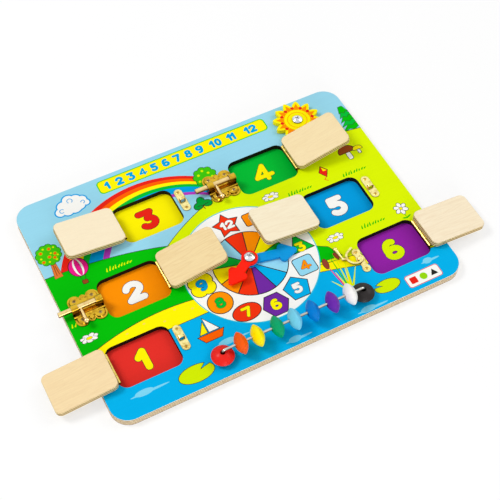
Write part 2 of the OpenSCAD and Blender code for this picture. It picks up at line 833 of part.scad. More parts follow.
// Beads 0 and 8 lie on the board round the wire's legs, the others hang on the wire
module bead(k) {
    color(bead_paint[k])
        if (k == 0 || k == 8)
            translate([k == 0 ? left_leg_x : right_leg_x, wire_y, board_top + bead_t / 2 + 0.05]) bead_shape();
        else
            translate([left_leg_x + wire_span * bead_places[k - 1], wire_y, wire_z - bead_drop])
                rotate([0, 90, 0]) bead_shape();
}

// ---------- the parts ----------

back_panel();
front_panel();
for (i = [0 : 5]) {
    door(i);
    hinge_door_leaf(i);
    door_screws(i);
}
hinge_board_leaves();
hinge_pins();
board_screws();
for (i = BOLT_DOORS) {
    bolt_case(i);
    bolt_rod(i);
    bolt_knob(i);
    keeper(i);
}
bolt_screws();
for (i = HOOK_DOORS) {
    color(brass) at_door_hook(i) hook_plate();
    color(brass) at_door_hook(i) hook_arm();
    color(brass) at_hinge(i) catch_place() catch_plate();
}
color(brass) at_board_hook(HOOK_WINDOW) hook_plate();  // hook_6_plate
color(brass) at_board_hook(HOOK_WINDOW) hook_arm();  // hook_6_arm
color(brass) on_door(HOOK_WINDOW) door_catch_place() catch_plate();  // catch_6
long_hand();
short_hand();
sun_wheel();
disc_screws();
disc_washers();
bead_wire();
for (k = [0 : 8])
    bead(k);
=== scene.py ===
"""Looks of the wooden busy board: its print, wood, brass, paint, light and camera.

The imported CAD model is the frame. Lengths in this file are millimetres, and X, Y, Z are those of
the model: X right, Y to the far edge, Z up, with the origin in the middle of the board's back face.
"""

from __future__ import annotations

import logging
import math
from dataclasses import dataclass, field
from enum import Enum
from typing import Callable, Iterable, Mapping, Sequence

import bpy
import numpy as np
from mathutils import Matrix, Vector, geometry


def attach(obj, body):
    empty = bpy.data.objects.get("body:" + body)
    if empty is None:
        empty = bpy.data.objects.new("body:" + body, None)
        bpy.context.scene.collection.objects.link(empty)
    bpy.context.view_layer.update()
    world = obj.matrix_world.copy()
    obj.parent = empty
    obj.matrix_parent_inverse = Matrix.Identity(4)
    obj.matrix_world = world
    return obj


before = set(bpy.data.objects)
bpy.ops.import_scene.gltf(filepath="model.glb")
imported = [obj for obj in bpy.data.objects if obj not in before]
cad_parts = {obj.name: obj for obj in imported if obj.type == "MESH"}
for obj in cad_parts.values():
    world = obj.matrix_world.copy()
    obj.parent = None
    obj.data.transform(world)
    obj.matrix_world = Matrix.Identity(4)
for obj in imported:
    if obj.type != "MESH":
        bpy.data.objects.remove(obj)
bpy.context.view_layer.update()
LOG = logging.getLogger("busy_board")

MM = 0.001
PROUD = 0.015
SUNK = 0.03
WELD = 1e-4
TINY = 1e-9
Colour = tuple[float, float, float]
Points = np.ndarray


def srgb(red: float, green: float, blue: float) -> Colour:
    """Linear colour of a screen colour.

    Args:
        red: red from 0 to 255.
        green: green from 0 to 255.
        blue: blue from 0 to 255.

    Returns:
        The linear red, green and blue, from 0 to 1.
    """

    def linear(value: float) -> float:
        """One channel without the screen's curve."""
        v = value / 255
        return v / 12.92 if v <= 0.04045 else ((v + 0.055) / 1.055) ** 2.4

    return linear(red), linear(green), linear(blue)


class Ink(Enum):
    """The print's colours."""

    SKY = srgb(151, 213, 234)
    SKY_BLUE = srgb(0, 160, 226)
    WATER = srgb(0, 175, 232)
    RIPPLE = srgb(124, 210, 238)
    MEADOW = srgb(0, 188, 4)
    LIME = srgb(218, 242, 0)
    PAD = srgb(206, 232, 0)
    LEAF = srgb(64, 200, 10)
    SAND = srgb(250, 214, 90)
    WHITE = srgb(248, 247, 242)
    LINE = srgb(40, 38, 34)
    RED = srgb(232, 36, 22)
    FIRE = srgb(242, 52, 14)
    FLOOR_RED = srgb(228, 48, 40)
    ORANGE = srgb(255, 146, 0)
    DEEP_ORANGE = srgb(252, 98, 0)
    YELLOW = srgb(255, 242, 0)
    GREEN = srgb(0, 188, 52)
    LIGHT_GREEN = srgb(150, 214, 10)
    BLUE = srgb(0, 156, 222)
    TITLE = srgb(0, 164, 228)
    PALE_BLUE = srgb(148, 216, 240)
    PURPLE = srgb(146, 34, 164)
    VIOLET = srgb(184, 58, 190)
    INDIGO = srgb(112, 42, 160)
    SHRUB = srgb(0, 156, 52)
    CYAN_LINE = srgb(60, 195, 215)
    BROWN = srgb(150, 72, 26)
    TRUNK = srgb(226, 120, 50)
    RUSH = srgb(150, 66, 46)
    PINK = srgb(236, 30, 140)


# ---------------------------------------------------------------- shaders


class Socket:
    """An output of a shader node that takes part in arithmetic."""

    def __init__(self, nodes: Nodes, out: bpy.types.NodeSocket) -> None:
        """Keeps the output and the nodes that it belongs to."""
        self.nodes = nodes
        self.out = out

    def __add__(self, other: Value) -> Socket:
        """self + other."""
        return self.nodes.math("ADD", self, other)

    def __radd__(self, other: Value) -> Socket:
        """other + self."""
        return self.nodes.math("ADD", other, self)

    def __sub__(self, other: Value) -> Socket:
        """self - other."""
        return self.nodes.math("SUBTRACT", self, other)

    def __rsub__(self, other: Value) -> Socket:
        """other - self."""
        return self.nodes.math("SUBTRACT", other, self)

    def __mul__(self, other: Value) -> Socket:
        """self * other."""
        return self.nodes.math("MULTIPLY", self, other)

    def __rmul__(self, other: Value) -> Socket:
        """other * self."""
        return self.nodes.math("MULTIPLY", other, self)

    def __truediv__(self, other: Value) -> Socket:
        """self / other."""
        return self.nodes.math("DIVIDE", self, other)

    def __abs__(self) -> Socket:
        """Size of self."""
        return self.nodes.math("ABSOLUTE", self)

    def above(self, edge: float, soft: float) -> Socket:
        """0 below the edge and 1 above it, over a step as wide as soft."""
        return self.nodes.clamp((self - edge) / soft + 0.5)


Value = Socket | float | Sequence[float]


class Nodes:
    """The nodes of one material or world: they are made and joined here alone."""

    def __init__(self, tree: bpy.types.NodeTree) -> None:
        """Starts with an empty tree."""
        self.tree = tree
        self.tree.nodes.clear()

    def node(
        self, kind: str, inputs: Mapping[str | int, Value] | None = None, **settings: str | bool | int
    ) -> bpy.types.Node:
        """Makes a node, sets it and fills its inputs.

        Args:
            kind: the node's type.
            inputs: a socket, number or tuple for each named or numbered input.
            **settings: the node's own properties.

        Returns:
            The node.
        """
        node = self.tree.nodes.new(kind)
        for key, value in settings.items():
            setattr(node, key, value)
        for key, value in (inputs or {}).items():
            self.fill(node.inputs[key], value)
        return node

    def fill(self, target: bpy.types.NodeSocket, value: Value) -> None:
        """Links a socket into an input, or sets the input's own value.

        Args:
            target: the input.
            value: a socket, a number, or a colour or vector, to which 1 is added as its alpha.
        """
        if isinstance(value, Socket):
            self.tree.links.new(value.out, target)
        elif isinstance(value, (int, float)):
            target.default_value = float(value)
        else:
            size = len(target.default_value)
            target.default_value = tuple(value)[:size] + (1.0,) * (size - len(value))

    def out(
        self, kind: str, output: str | int, inputs: Mapping[str | int, Value] | None = None,
        **settings: str | bool | int,
    ) -> Socket:
        """The named or numbered output of a new node."""
        return Socket(self, self.node(kind, inputs, **settings).outputs[output])

    def math(self, operation: str, *values: Value) -> Socket:
        """A math node on one to three numbers."""
        return self.out("ShaderNodeMath", 0, dict(enumerate(values)), operation=operation)

    def clamp(self, value: Value) -> Socket:
        """value kept between 0 and 1."""
        return self.out("ShaderNodeMath", 0, {0: value, 1: 0.0}, operation="ADD", use_clamp=True)

    def vector(self, operation: str, *values: Value) -> Socket:
        """A vector math node that gives a vector."""
        return self.out("ShaderNodeVectorMath", "Vector", dict(enumerate(values)), operation=operation)

    def scale(self, vector: Value, by: Value) -> Socket:
        """A vector or colour times a number."""
        return self.out("ShaderNodeVectorMath", "Vector", {0: vector, "Scale": by}, operation="SCALE")

    def dot(self, first: Value, second: Value) -> Socket:
        """The dot product of two vectors."""
        return self.out("ShaderNodeVectorMath", "Value", {0: first, 1: second}, operation="DOT_PRODUCT")

    def mix(self, factor: Value, low: Value, high: Value) -> Socket:
        """The colour low where factor is 0 and high where it is 1."""
        return self.out("ShaderNodeMix", 2, {0: factor, 6: low, 7: high}, data_type="RGBA")

    def split(self, vector: Socket) -> tuple[Socket, ...]:
        """The three parts of a vector."""
        return tuple(Socket(self, part) for part in self.node("ShaderNodeSeparateXYZ", {0: vector}).outputs)

    def plain_view(self) -> Socket:
        """Tells the rays that show a plain white background from those that light the object.

        Returns:
            1 for rays from the camera, a mirror or glass, and 0 for the others.
        """
        rays = self.node("ShaderNodeLightPath").outputs
        camera, glossy, clear = (
            Socket(self, rays[f"Is {kind} Ray"]) for kind in ("Camera", "Glossy", "Transmission")
        )
        return self.math("MAXIMUM", self.math("MAXIMUM", camera, glossy), clear)


class Shader(Nodes):
    """A material in the making, with a principled surface."""

    def __init__(self, name: str) -> None:
        """Makes the material, its surface and its output.

        Args:
            name: the material's name.
        """
        self.material = bpy.data.materials.new(name)
        self.material.use_nodes = True
        super().__init__(self.material.node_tree)
        self.surface = self.node("ShaderNodeBsdfPrincipled")
        shown = Socket(self, self.surface.outputs["BSDF"])
        self.output = self.node("ShaderNodeOutputMaterial", {"Surface": shown})

    def place(self) -> Socket:
        """Where the point lies in the object's own frame, in millimetres."""
        return self.scale(self.out("ShaderNodeTexCoord", "Object"), 1 / MM)

    def normal(self) -> Socket:
        """The surface's own direction in the object's frame."""
        return self.out("ShaderNodeTexCoord", "Normal")

    def noise(self, at: Socket, grain: Points, detail: float = 3.0, rough: float = 0.55) -> Socket:
        """Noise around 0.5 in patches as large as grain, with as many finer layers as detail."""
        inputs = {"Vector": self.vector("DIVIDE", at, grain), "Scale": 1.0, "Detail": detail}
        return self.out("ShaderNodeTexNoise", 0, {**inputs, "Roughness": rough})

    def bump(self, height: Socket, strength: float, depth: float) -> None:
        """Raises the surface by a field from 0 to 1, where 1 is as high as depth."""
        inputs = {"Height": height, "Strength": strength, "Distance": depth * MM}
        self.fill(self.surface.inputs["Normal"], self.out("ShaderNodeBump", "Normal", inputs))

    def dress(self, **values: Value) -> bpy.types.Material:
        """Fills the surface's inputs and hands the material over.

        Args:
            **values: an input each, its name in lower case with underscores.

        Returns:
            The finished material.
        """
        for key, value in values.items():
            name = key.replace("_", " ").title().replace("Ior", "IOR")
            self.fill(self.surface.inputs[name], value)
        return self.material


# ---------------------------------------------------------------- finishes


@dataclass(frozen=True)
class PlyEdge:
    """The edge of plywood: layers of long grain with darker layers of end grain between them."""

    light: Colour
    dark: Colour

    def colour(self, ink: Shader, place: Socket, fibre: Socket) -> Socket:
        """The edge's colour.

        Args:
            ink: the material.
            place: how many layers the point lies over the middle of the panel.
            fibre: noise along the edge.

        Returns:
            The colour.
        """
        end_grain = ink.math("PINGPONG", place, 1.0).above(0.5, 0.16)
        glue = 1.0 - abs(ink.math("FRACT", place) - 0.5).above(0.09, 0.1)
        pale = ink.scale(self.light, 1.05 - 0.1 * fibre)
        wood = ink.mix(end_grain * (0.75 + 0.4 * fibre), pale, self.dark)
        return ink.mix(glue * 0.45, wood, ink.scale(self.dark, 0.7 + 0.2 * fibre))


@dataclass(frozen=True)
class Plywood:
    """Sanded birch ply that lies in a tilted plane: pale faces and layered edges."""

    pin: tuple[float, float, float]
    up: tuple[float, float, float]
    thick: float
    face: Colour
    figure: float
    shift: float
    plies: int = 5
    late: tuple[float, float, float] = (0.84, 0.84**1.7, 0.84**2.6)
    edge: PlyEdge = PlyEdge(srgb(250, 226, 168), srgb(100, 62, 22))

    def material(self, name: str) -> bpy.types.Material:
        """Grain along X on the faces and plies on the sides.

        Args:
            name: the material's name.

        Returns:
            The material.
        """
        ink = Shader(name)
        at = ink.place()
        seen = ink.vector("ADD", at, (self.shift, self.shift * 1.7, 0.0))
        height = ink.dot(ink.vector("SUBTRACT", at, self.pin), self.up)
        flat = abs(ink.dot(ink.normal(), self.up)).above(0.75, 0.1)
        grain = ink.noise(seen, (80.0, 1.9, 5.0), 5.0, 0.6)
        cloud = ink.noise(seen, (120.0, 16.0, 30.0), 2.0)
        pores = ink.noise(seen, (4.0, 0.3, 0.6), 2.0)
        fibre = ink.noise(seen, (0.5, 0.5, 0.9), 3.0)
        rings = ink.math("PINGPONG", (cloud * 9.0) + grain * 0.5, 0.5) * 2.0
        tone = ink.clamp((grain - 0.38) * 1.7) * 0.45 + ink.clamp(rings - 0.4) * 0.35
        late = tuple(early * part for early, part in zip(self.face, self.late))
        face = ink.mix(ink.clamp(tone * self.figure), self.face, late)
        face = ink.scale(face, 1.02 - 0.08 * ink.clamp((pores - 0.5) * 3.0))
        edge = self.edge.colour(ink, height / (self.thick / self.plies), fibre)
        ink.bump(flat * (pores + grain) + (1.0 - flat) * fibre, 0.22, 0.1)
        return ink.dress(
            base_color=ink.mix(flat, edge, face),
            roughness=0.52 + 0.14 * (grain - 0.5) + 0.1 * (1.0 - flat),
            specular_ior_level=0.12,
        )


@dataclass(frozen=True)
class PanelCut:
    """The sides of a panel: bare ply outside, dark where the windows are cut."""

    width: float
    depth: float
    foot: float
    thick: float
    plies: int = 5
    wall: float = 6.2
    edge: PlyEdge = PlyEdge(srgb(255, 240, 204), srgb(132, 90, 44))
    char: Colour = srgb(20, 13, 9)

    def material(self, name: str) -> bpy.types.Material:
        """Ply, or the charred wall of a cut window, by how far the outline is.

        Args:
            name: the material's name.

        Returns:
            The material.
        """
        ink = Shader(name)
        at = ink.place()
        x, y, z = ink.split(at)
        inward = ink.math("MINIMUM", self.width / 2 - abs(x), self.depth / 2 - abs(y))
        fibre = ink.noise(at, (0.7, 0.7, 1.2), 3.0)
        height = z - (self.foot + self.thick / 2)
        bare = self.edge.colour(ink, height / (self.thick / self.plies), fibre)
        ink.bump(fibre, 0.2, 0.1)
        return ink.dress(
            base_color=ink.mix(inward.above(self.wall, 0.4), bare, ink.scale(self.char, 0.6 + 0.8 * fibre)),
            roughness=0.62 - 0.1 * (fibre - 0.5),
            specular_ior_level=0.1,
        )


@dataclass(frozen=True)
class Paint:
    """Satin toy paint over wood."""

    colour: Colour
    gloss: float = 0.36
    coat: float = 0.06

    def material(self, name: str) -> bpy.types.Material:
        """Brushed-out colour with a faint grain underneath.

        Args:
            name: the material's name.

        Returns:
            The material.
        """
        ink = Shader(name)
        at = ink.place()
        cloud = ink.noise(at, (9.0, 9.0, 9.0), 3.0)
        speck = ink.noise(at, (0.7, 0.7, 0.7), 2.0)
        ink.bump(speck, 0.14, 0.08)
        return ink.dress(
            base_color=ink.scale(self.colour, 0.92 + 0.16 * cloud),
            roughness=self.gloss + 0.12 * (speck - 0.5),
            specular_ior_level=0.1,
            coat_weight=self.coat,
            coat_roughness=0.2,
        )


@dataclass(frozen=True)
class Metal:
    """A metal with fine rolling marks and stains, with painted shade on its sides and in corners."""

    colour: Colour
    # painted shade: the colour given to faces that don't point up, standing in for the light they get less
    # of
    side: Colour
    stain: Colour
    rough: float = 0.2
    dent: float = 0.02
    stains: float = 0.6
    # painted shade: how much the colour darkens in corners and where parts meet, out to reach millimetres
    corner: float = 0.6
    reach: float = 2.4

    def material(self, name: str) -> bpy.types.Material:
        """Metal that dulls in soft patches, with painted shade where parts meet and on faces that don't
        point up.

        Args:
            name: the material's name.

        Returns:
            The material.
        """
        ink = Shader(name)
        at = ink.place()
        patch = ink.noise(at, (4.5, 4.5, 4.5), 2.0)
        mark = ink.noise(at, (0.6, 2.4, 1.2), 2.0)
        # painted shade: faces that don't point up along Z take the darker side colour
        lift = abs(ink.split(ink.normal())[2]).above(0.62, 0.7)
        top = ink.mix(ink.clamp((patch - 0.46) * 3.2) * self.stains, self.colour, self.stain)
        stains_and_painted_side_shade = ink.mix(lift, self.side, top)
        # painted shade: ambient occlusion darkens the colour in corners and where parts meet
        near = ink.out("ShaderNodeAmbientOcclusion", "AO", {"Distance": self.reach * MM}, samples=8)
        open_air = ink.clamp(near * 1.25 - 0.12)
        ink.bump(patch * 0.8 + mark * 0.2, 0.3, self.dent)
        return ink.dress(
            base_color=ink.scale(stains_and_painted_side_shade, (1.0 - self.corner) + self.corner * open_air),
            metallic=1.0,
            roughness=ink.clamp(self.rough + 0.16 * (patch - 0.5) + 0.06 * (mark - 0.5)),
        )


@dataclass(frozen=True)
class PrintInk:
    """Satin print: the colour stored on the mesh, over ply that shows through a little."""

    store: str = "ink"

    def material(self, name: str) -> bpy.types.Material:
        """Colour from the mesh with the wood's grain and the print's fine dots.

        Args:
            name: the material's name.

        Returns:
            The material.
        """
        ink = Shader(name)
        at = ink.place()
        grain = ink.noise(at, (70.0, 1.8, 1.8), 4.0)
        dots = ink.noise(at, (0.45, 0.45, 0.45), 1.0)
        colour = ink.out("ShaderNodeAttribute", "Color", attribute_name=self.store)
        ink.bump(grain * 0.6 + dots * 0.4, 0.08, 0.05)
        return ink.dress(
            base_color=ink.scale(colour, 0.96 + 0.08 * grain),
            roughness=0.34 + 0.1 * (dots - 0.5) + 0.1 * (grain - 0.5),
            specular_ior_level=0.04,
        )


# ---------------------------------------------------------------- flat shapes


def polar(turn: np.ndarray, radius: float | np.ndarray = 1.0) -> Points:
    """The points at some angles in radians, with one radius or a radius each."""
    return np.column_stack([radius * np.cos(turn), radius * np.sin(turn)])


def ring(count: int) -> Points:
    """Points spread evenly round a circle of radius 1."""
    return polar(np.linspace(0, 2 * math.pi, count, endpoint=False))


def turned(points: Points, degrees: float) -> Points:
    """points turned anticlockwise about the origin."""
    a = math.radians(degrees)
    return points @ np.array([[math.cos(a), math.sin(a)], [-math.sin(a), math.cos(a)]])


def ellipse(x: float, y: float, a: float, b: float, turn: float = 0, count: int = 48) -> Points:
    """A circle about (x, y) stretched by the half-axes a and b, then slanted by turn degrees."""
    return turned(ring(count) * (a, b), turn) + (x, y)


def disc(x: float, y: float, r: float, count: int = 40) -> Points:
    """A circle about (x, y)."""
    return ellipse(x, y, r, r, 0, count)


def stroke(x0: float, y0: float, x1: float, y1: float, r: float, r1: float | None = None) -> Points:
    """A straight stroke with round ends: half a circle about each end, turned to the slant.

    Args:
        x0: its start along X.
        y0: its start along Y.
        x1: its end along X.
        y1: its end along Y.
        r: half its width at the start.
        r1: half its width at the end, if that differs.

    Returns:
        The outline.
    """
    slant = math.degrees(math.atan2(y1 - y0, x1 - x0))
    cap = polar(np.linspace(-math.pi / 2, math.pi / 2, 13))
    front = turned(cap * (r if r1 is None else r1), slant) + (x1, y1)
    return np.concatenate([front, turned(cap * r, slant + 180) + (x0, y0)])


def arc(x: float, y: float, r: float, w: float, a0: float, a1: float, squash: float = 1.0) -> list[Points]:
    """A curved stroke with round ends, as a chain of short strokes.

    They join points of a circle's arc, mostly some 22 degrees apart, whose height over the
    centre is multiplied by squash.

    Args:
        x: its centre along X.
        y: its centre along Y.
        r: radius.
        w: half the stroke's width.
        a0: first angle in degrees.
        a1: last angle in degrees.
        squash: height over width.

    Returns:
        The outlines.
    """
    steps = max(4, int(abs(a1 - a0) / 22))
    along = polar(np.radians(np.linspace(a0, a1, steps + 1)), r)
    return path(along * (1, squash) + (x, y), w)


def path(along: Points, w: float) -> list[Points]:
    """A bent stroke: a straight one from each point to the next."""
    return [stroke(*a, *b, w) for a, b in zip(along[:-1], along[1:])]


def polygon(*corners: tuple[float, float]) -> Points:
    """An outline from its corners."""
    return np.array(corners, dtype=float)


def regular(x: float, y: float, r: float, sides: int, turn: float, inner: float | None = None) -> Points:
    """A polygon with corners evenly round a circle, or a star if every other one lies on inner."""
    radius = np.resize([r, inner or r], sides * (2 if inner else 1))
    return turned(ring(len(radius)) * radius[:, None], turn) + (x, y)


def petals(x: float, y: float, r: float, depth: float, count: int, turn: float = 0) -> Points:
    """A flower: from each petal's tip the radius falls by depth as a cosine to the power 0.7 does."""
    a = np.linspace(0, 2 * math.pi, count * 12, endpoint=False)
    return turned(polar(a, r - depth * (1 - np.abs(np.cos(a * count / 2)) ** 0.7)), turn) + (x, y)


def rounded_box(x: float, y: float, w: float, h: float, r: float) -> Points:
    """A rectangle with round corners: a quarter circle about each corner's centre.

    Args:
        x: its centre along X.
        y: its centre along Y.
        w: width.
        h: height.
        r: corner radius.

    Returns:
        The outline.
    """
    cap = polar(np.linspace(0, math.pi / 2, 9)) * r
    signs = ((1, 1), (-1, 1), (-1, -1), (1, -1))
    corners = [turned(cap, 90 * k) + ((w / 2 - r) * u, (h / 2 - r) * v) for k, (u, v) in enumerate(signs)]
    return np.concatenate(corners) + (x, y)


def counterclockwise(points: Points) -> Points:
    """The outline with its inside on the left, told by the sign of its area."""
    after = np.roll(points, -1, axis=0)
    return points if np.sum(points[:, 0] * after[:, 1] - points[:, 1] * after[:, 0]) > 0 else points[::-1]


def grown(points: Points, by: float) -> Points:
    """An outline moved outwards by a width, for the dark line round it.

    Each corner moves along the line that halves its angle, by the width over the cosine of
    half the turn, up to three widths.

    Args:
        points: the outline.
        by: the width.

    Returns:
        The wider outline.
    """
    points = counterclockwise(points)
    ahead = np.roll(points, -1, axis=0) - points
    ahead /= np.maximum(np.linalg.norm(ahead, axis=1), TINY)[:, None]
    out = np.stack([ahead[:, 1], -ahead[:, 0]], axis=1)
    middle = out + np.roll(out, 1, axis=0)
    middle /= np.maximum(np.linalg.norm(middle, axis=1), TINY)[:, None]
    reach = by / np.maximum(np.sum(middle * out, axis=1), 1 / 3)
    return points + middle * reach[:, None]


@dataclass(frozen=True)
class Digits:
    """Fat round-ended numerals, drawn in a box of height 1."""

    weight: float
    wide: float

    def strokes(self, digit: str) -> list[Points]:
        """One numeral as round-ended strokes about the origin.

        Args:
            digit: the numeral.

        Returns:
            The strokes' outlines.
        """
        w = self.weight
        top, low, side = 0.5 - w, w - 0.5, self.wide - w
        match digit:
            case "0":
                return arc(0, 0, side * 0.85, w, 0, 360, top / side / 0.85)
            case "1":
                return path(polygon((-0.18, 0.14), (0.05, top), (0.05, low)), w)
            case "2":
                bow = arc(0, top - side * 0.8, side, w, 170, -30, 0.8)
                foot = polygon((side * 0.87, top - side * 1.2), (-side, low), (side, low))
                return bow + path(foot, w)
            case "3":
                flag = path(polygon((-side, top), (side * 0.7, top), (0.0, 0.06)), w)
                return flag + arc(-0.02, low + side * 0.8, side, w, 80, -145, 0.8)
            case "4":
                bar = low + 0.17
                sail = polygon((0.12, low), (0.12, top), (-side - 0.06, bar), (side + 0.08, bar))
                return path(sail, w * 0.72)
            case "5":
                flag = polygon((side * 0.85, top), (-side * 0.72, top), (-side * 0.8, 0.1))
                return path(flag, w * 0.94) + arc(-0.03, low + side * 0.84, side, w, 112, -142, 0.84)
            case "6":
                back = arc(0.02, 0.02, side, w, 66, 200, top / side)
                return back + arc(0, low + side * 0.76, side * 0.96, w, 0, 360, 0.79)
            case "7":
                return path(polygon((-side, top), (side, top), (-0.04, low)), w)
            case "8":
                upper = arc(0, top - side * 0.6, side * 0.8, w * 0.94, 0, 360, 0.8)
                return upper + arc(0, low + side * 0.68, side * 0.95, w * 0.94, 0, 360, 0.8)
            case _:
                back = arc(-0.02, -0.02, side, w, 20, -108, top / side)
                return back + arc(0, top - side * 0.74, side * 0.96, w, 0, 360, 0.77)

    def number(self, text: str, x: float, y: float, height: float) -> list[Points]:
        """A number's strokes, in which the first 1 of two numerals stands a little closer.

        Args:
            text: its numerals.
            x: its centre along X.
            y: its centre along Y.
            height: the numerals' height.

        Returns:
            The strokes' outlines.
        """
        step = (2 * self.wide + 0.02) * height
        shifts = [0.2 * height if digit == "1" and len(text) > 1 else 0.0 for digit in text]
        start = x - step * (len(text) - 1) / 2
        return [
            outline * height + (start + k * step + shift * (1 - 2 * k), y)
            for k, (digit, shift) in enumerate(zip(text, shifts))
            for outline in self.strokes(digit)
        ]


# ---------------------------------------------------------------- sheets of print


@dataclass
class Picture:
    """Flat coloured shapes in painting order, turned into one sheet of coloured faces."""

    layers: list[tuple[Points, Ink]] = field(default_factory=list)
    origin: tuple[float, float] = (0.0, 0.0)

    def add(self, ink: Ink, *outlines: Points, line: float = 0.0, edge: Ink = Ink.LINE) -> None:
        """Paints outlines about the picture's origin, over what is there.

        Args:
            ink: their colour.
            *outlines: the shapes.
            line: the width of a line round them.
            edge: the line's colour.
        """
        moved = [outline + self.origin for outline in outlines]
        if line:
            self.layers += [(grown(outline, line), edge) for outline in moved]
        self.layers += [(outline, ink) for outline in moved]

    def sheet(self, name: str, outline: Points, holes: list[Points], surface: float) -> bpy.types.Object:
        """Cuts the shapes along each other and makes a closed sheet.

        The plane is split into triangles that no outline crosses. Those inside the sheet's edge
        and outside its holes are kept, each in the colour of the shape painted last over it, or
        the sky's where there is none.

        Args:
            name: the piece's name.
            outline: the sheet's edge.
            holes: what is cut out of it.
            surface: the height of the wood that it covers.

        Returns:
            The sheet.
        """
        shapes = [counterclockwise(shape) for shape in (outline, *(s for s, _ in self.layers), *holes)]
        ends = np.cumsum([len(shape) for shape in shapes])
        faces = [list(range(end - len(shape), end)) for shape, end in zip(shapes, ends)]
        corners = [Vector(corner) for corner in np.concatenate(shapes).tolist()]
        points, _, triangles, _, _, origins = geometry.delaunay_2d_cdt(corners, [], faces, 1, WELD)
        first_hole = len(self.layers) + 1
        kept = [(t, max(o)) for t, o in zip(triangles, origins) if 0 in o and max(o) < first_hole]
        table = np.array([Ink.SKY.value, *(ink.value for _, ink in self.layers)])
        colours = table[[topmost for _, topmost in kept]]
        flat = np.array([point[:] for point in points])
        return sheet_object(name, flat, np.array([t for t, _ in kept]), colours, surface)


def sheet_object(
    name: str, flat: Points, triangles: np.ndarray, colours: np.ndarray, surface: float
) -> bpy.types.Object:
    """A thin closed sheet whose faces carry a colour each: two layers of triangles and a rim.

    Args:
        name: the piece's name.
        flat: its corners in plan.
        triangles: its faces, three corners each.
        colours: a linear colour for each face.
        surface: the height of the wood that it covers.

    Returns:
        The sheet.
    """
    count = len(flat)
    a, b, c = (flat[triangles[:, k]] for k in range(3))
    area = (b[:, 0] - a[:, 0]) * (c[:, 1] - a[:, 1]) - (b[:, 1] - a[:, 1]) * (c[:, 0] - a[:, 0])
    triangles = np.where((area < 0)[:, None], triangles[:, ::-1], triangles)
    edges: dict[tuple[int, int], int] = {}
    for face, (i, j, k) in enumerate(triangles):
        for edge in ((i, j), (j, k), (k, i)):
            if edges.pop((edge[1], edge[0]), None) is None:
                edges[edge] = face
    rim = [(i, j, j + count, i + count) for i, j in edges]
    levels = [np.column_stack([flat, np.full(count, z)]) for z in (surface - SUNK, surface + PROUD)]
    used = np.unique(np.concatenate([triangles.ravel(), triangles.ravel() + count]))
    renumber = np.full(2 * count, -1)
    renumber[used] = np.arange(len(used))
    faces = [renumber[list(face)].tolist() for face in [*(triangles + count), *triangles[:, ::-1], *rim]]
    piece = mesh_object(name, np.concatenate(levels)[used], faces)
    every = np.concatenate([colours, colours, colours[list(edges.values())]])
    rgba = np.repeat(np.column_stack([every, np.ones(len(every))]), [len(face) for face in faces], axis=0)
    stored = piece.data.color_attributes.new(PrintInk.store, "FLOAT_COLOR", "CORNER")
    stored.data.foreach_set("color", rgba.astype(np.float32).ravel())
    return piece


def mesh_object(name: str, corners: np.ndarray, faces: Sequence[Sequence[int]]) -> bpy.types.Object:
    """An object at the origin with its place in its mesh.

    Args:
        name: the piece's name.
        corners: its corners in millimetres.
        faces: its faces.

    Returns:
        The object.
    """
    mesh = bpy.data.meshes.new(name)
    mesh.from_pydata((corners * MM).tolist(), [], faces)
    mesh.validate()
    mesh.update()
    piece = bpy.data.objects.new(name, mesh)
    bpy.context.scene.collection.objects.link(piece)
    return piece


def wear(piece: bpy.types.Object, material: bpy.types.Material) -> None:
    """Gives an object its only material.

    Args:
        piece: the object.
        material: what it wears.
    """
    piece.data.materials.clear()
    piece.data.materials.append(material)
    LOG.info("%s wears %s", piece.name, material.name)


def dress_nodes(material: bpy.types.Material, *names: str) -> None:
    """Gives CAD nodes a material."""
    for name in names:
        wear(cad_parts[name], material)


def finish_piece(piece: bpy.types.Object, body: str, material: bpy.types.Material) -> None:
    """Gives a new piece its looks and the body that it moves with.

    Args:
        piece: the piece.
        body: the body that it rides on.
        material: what it wears.
    """
    wear(piece, material)
    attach(piece, body)


# ---------------------------------------------------------------- the board's picture


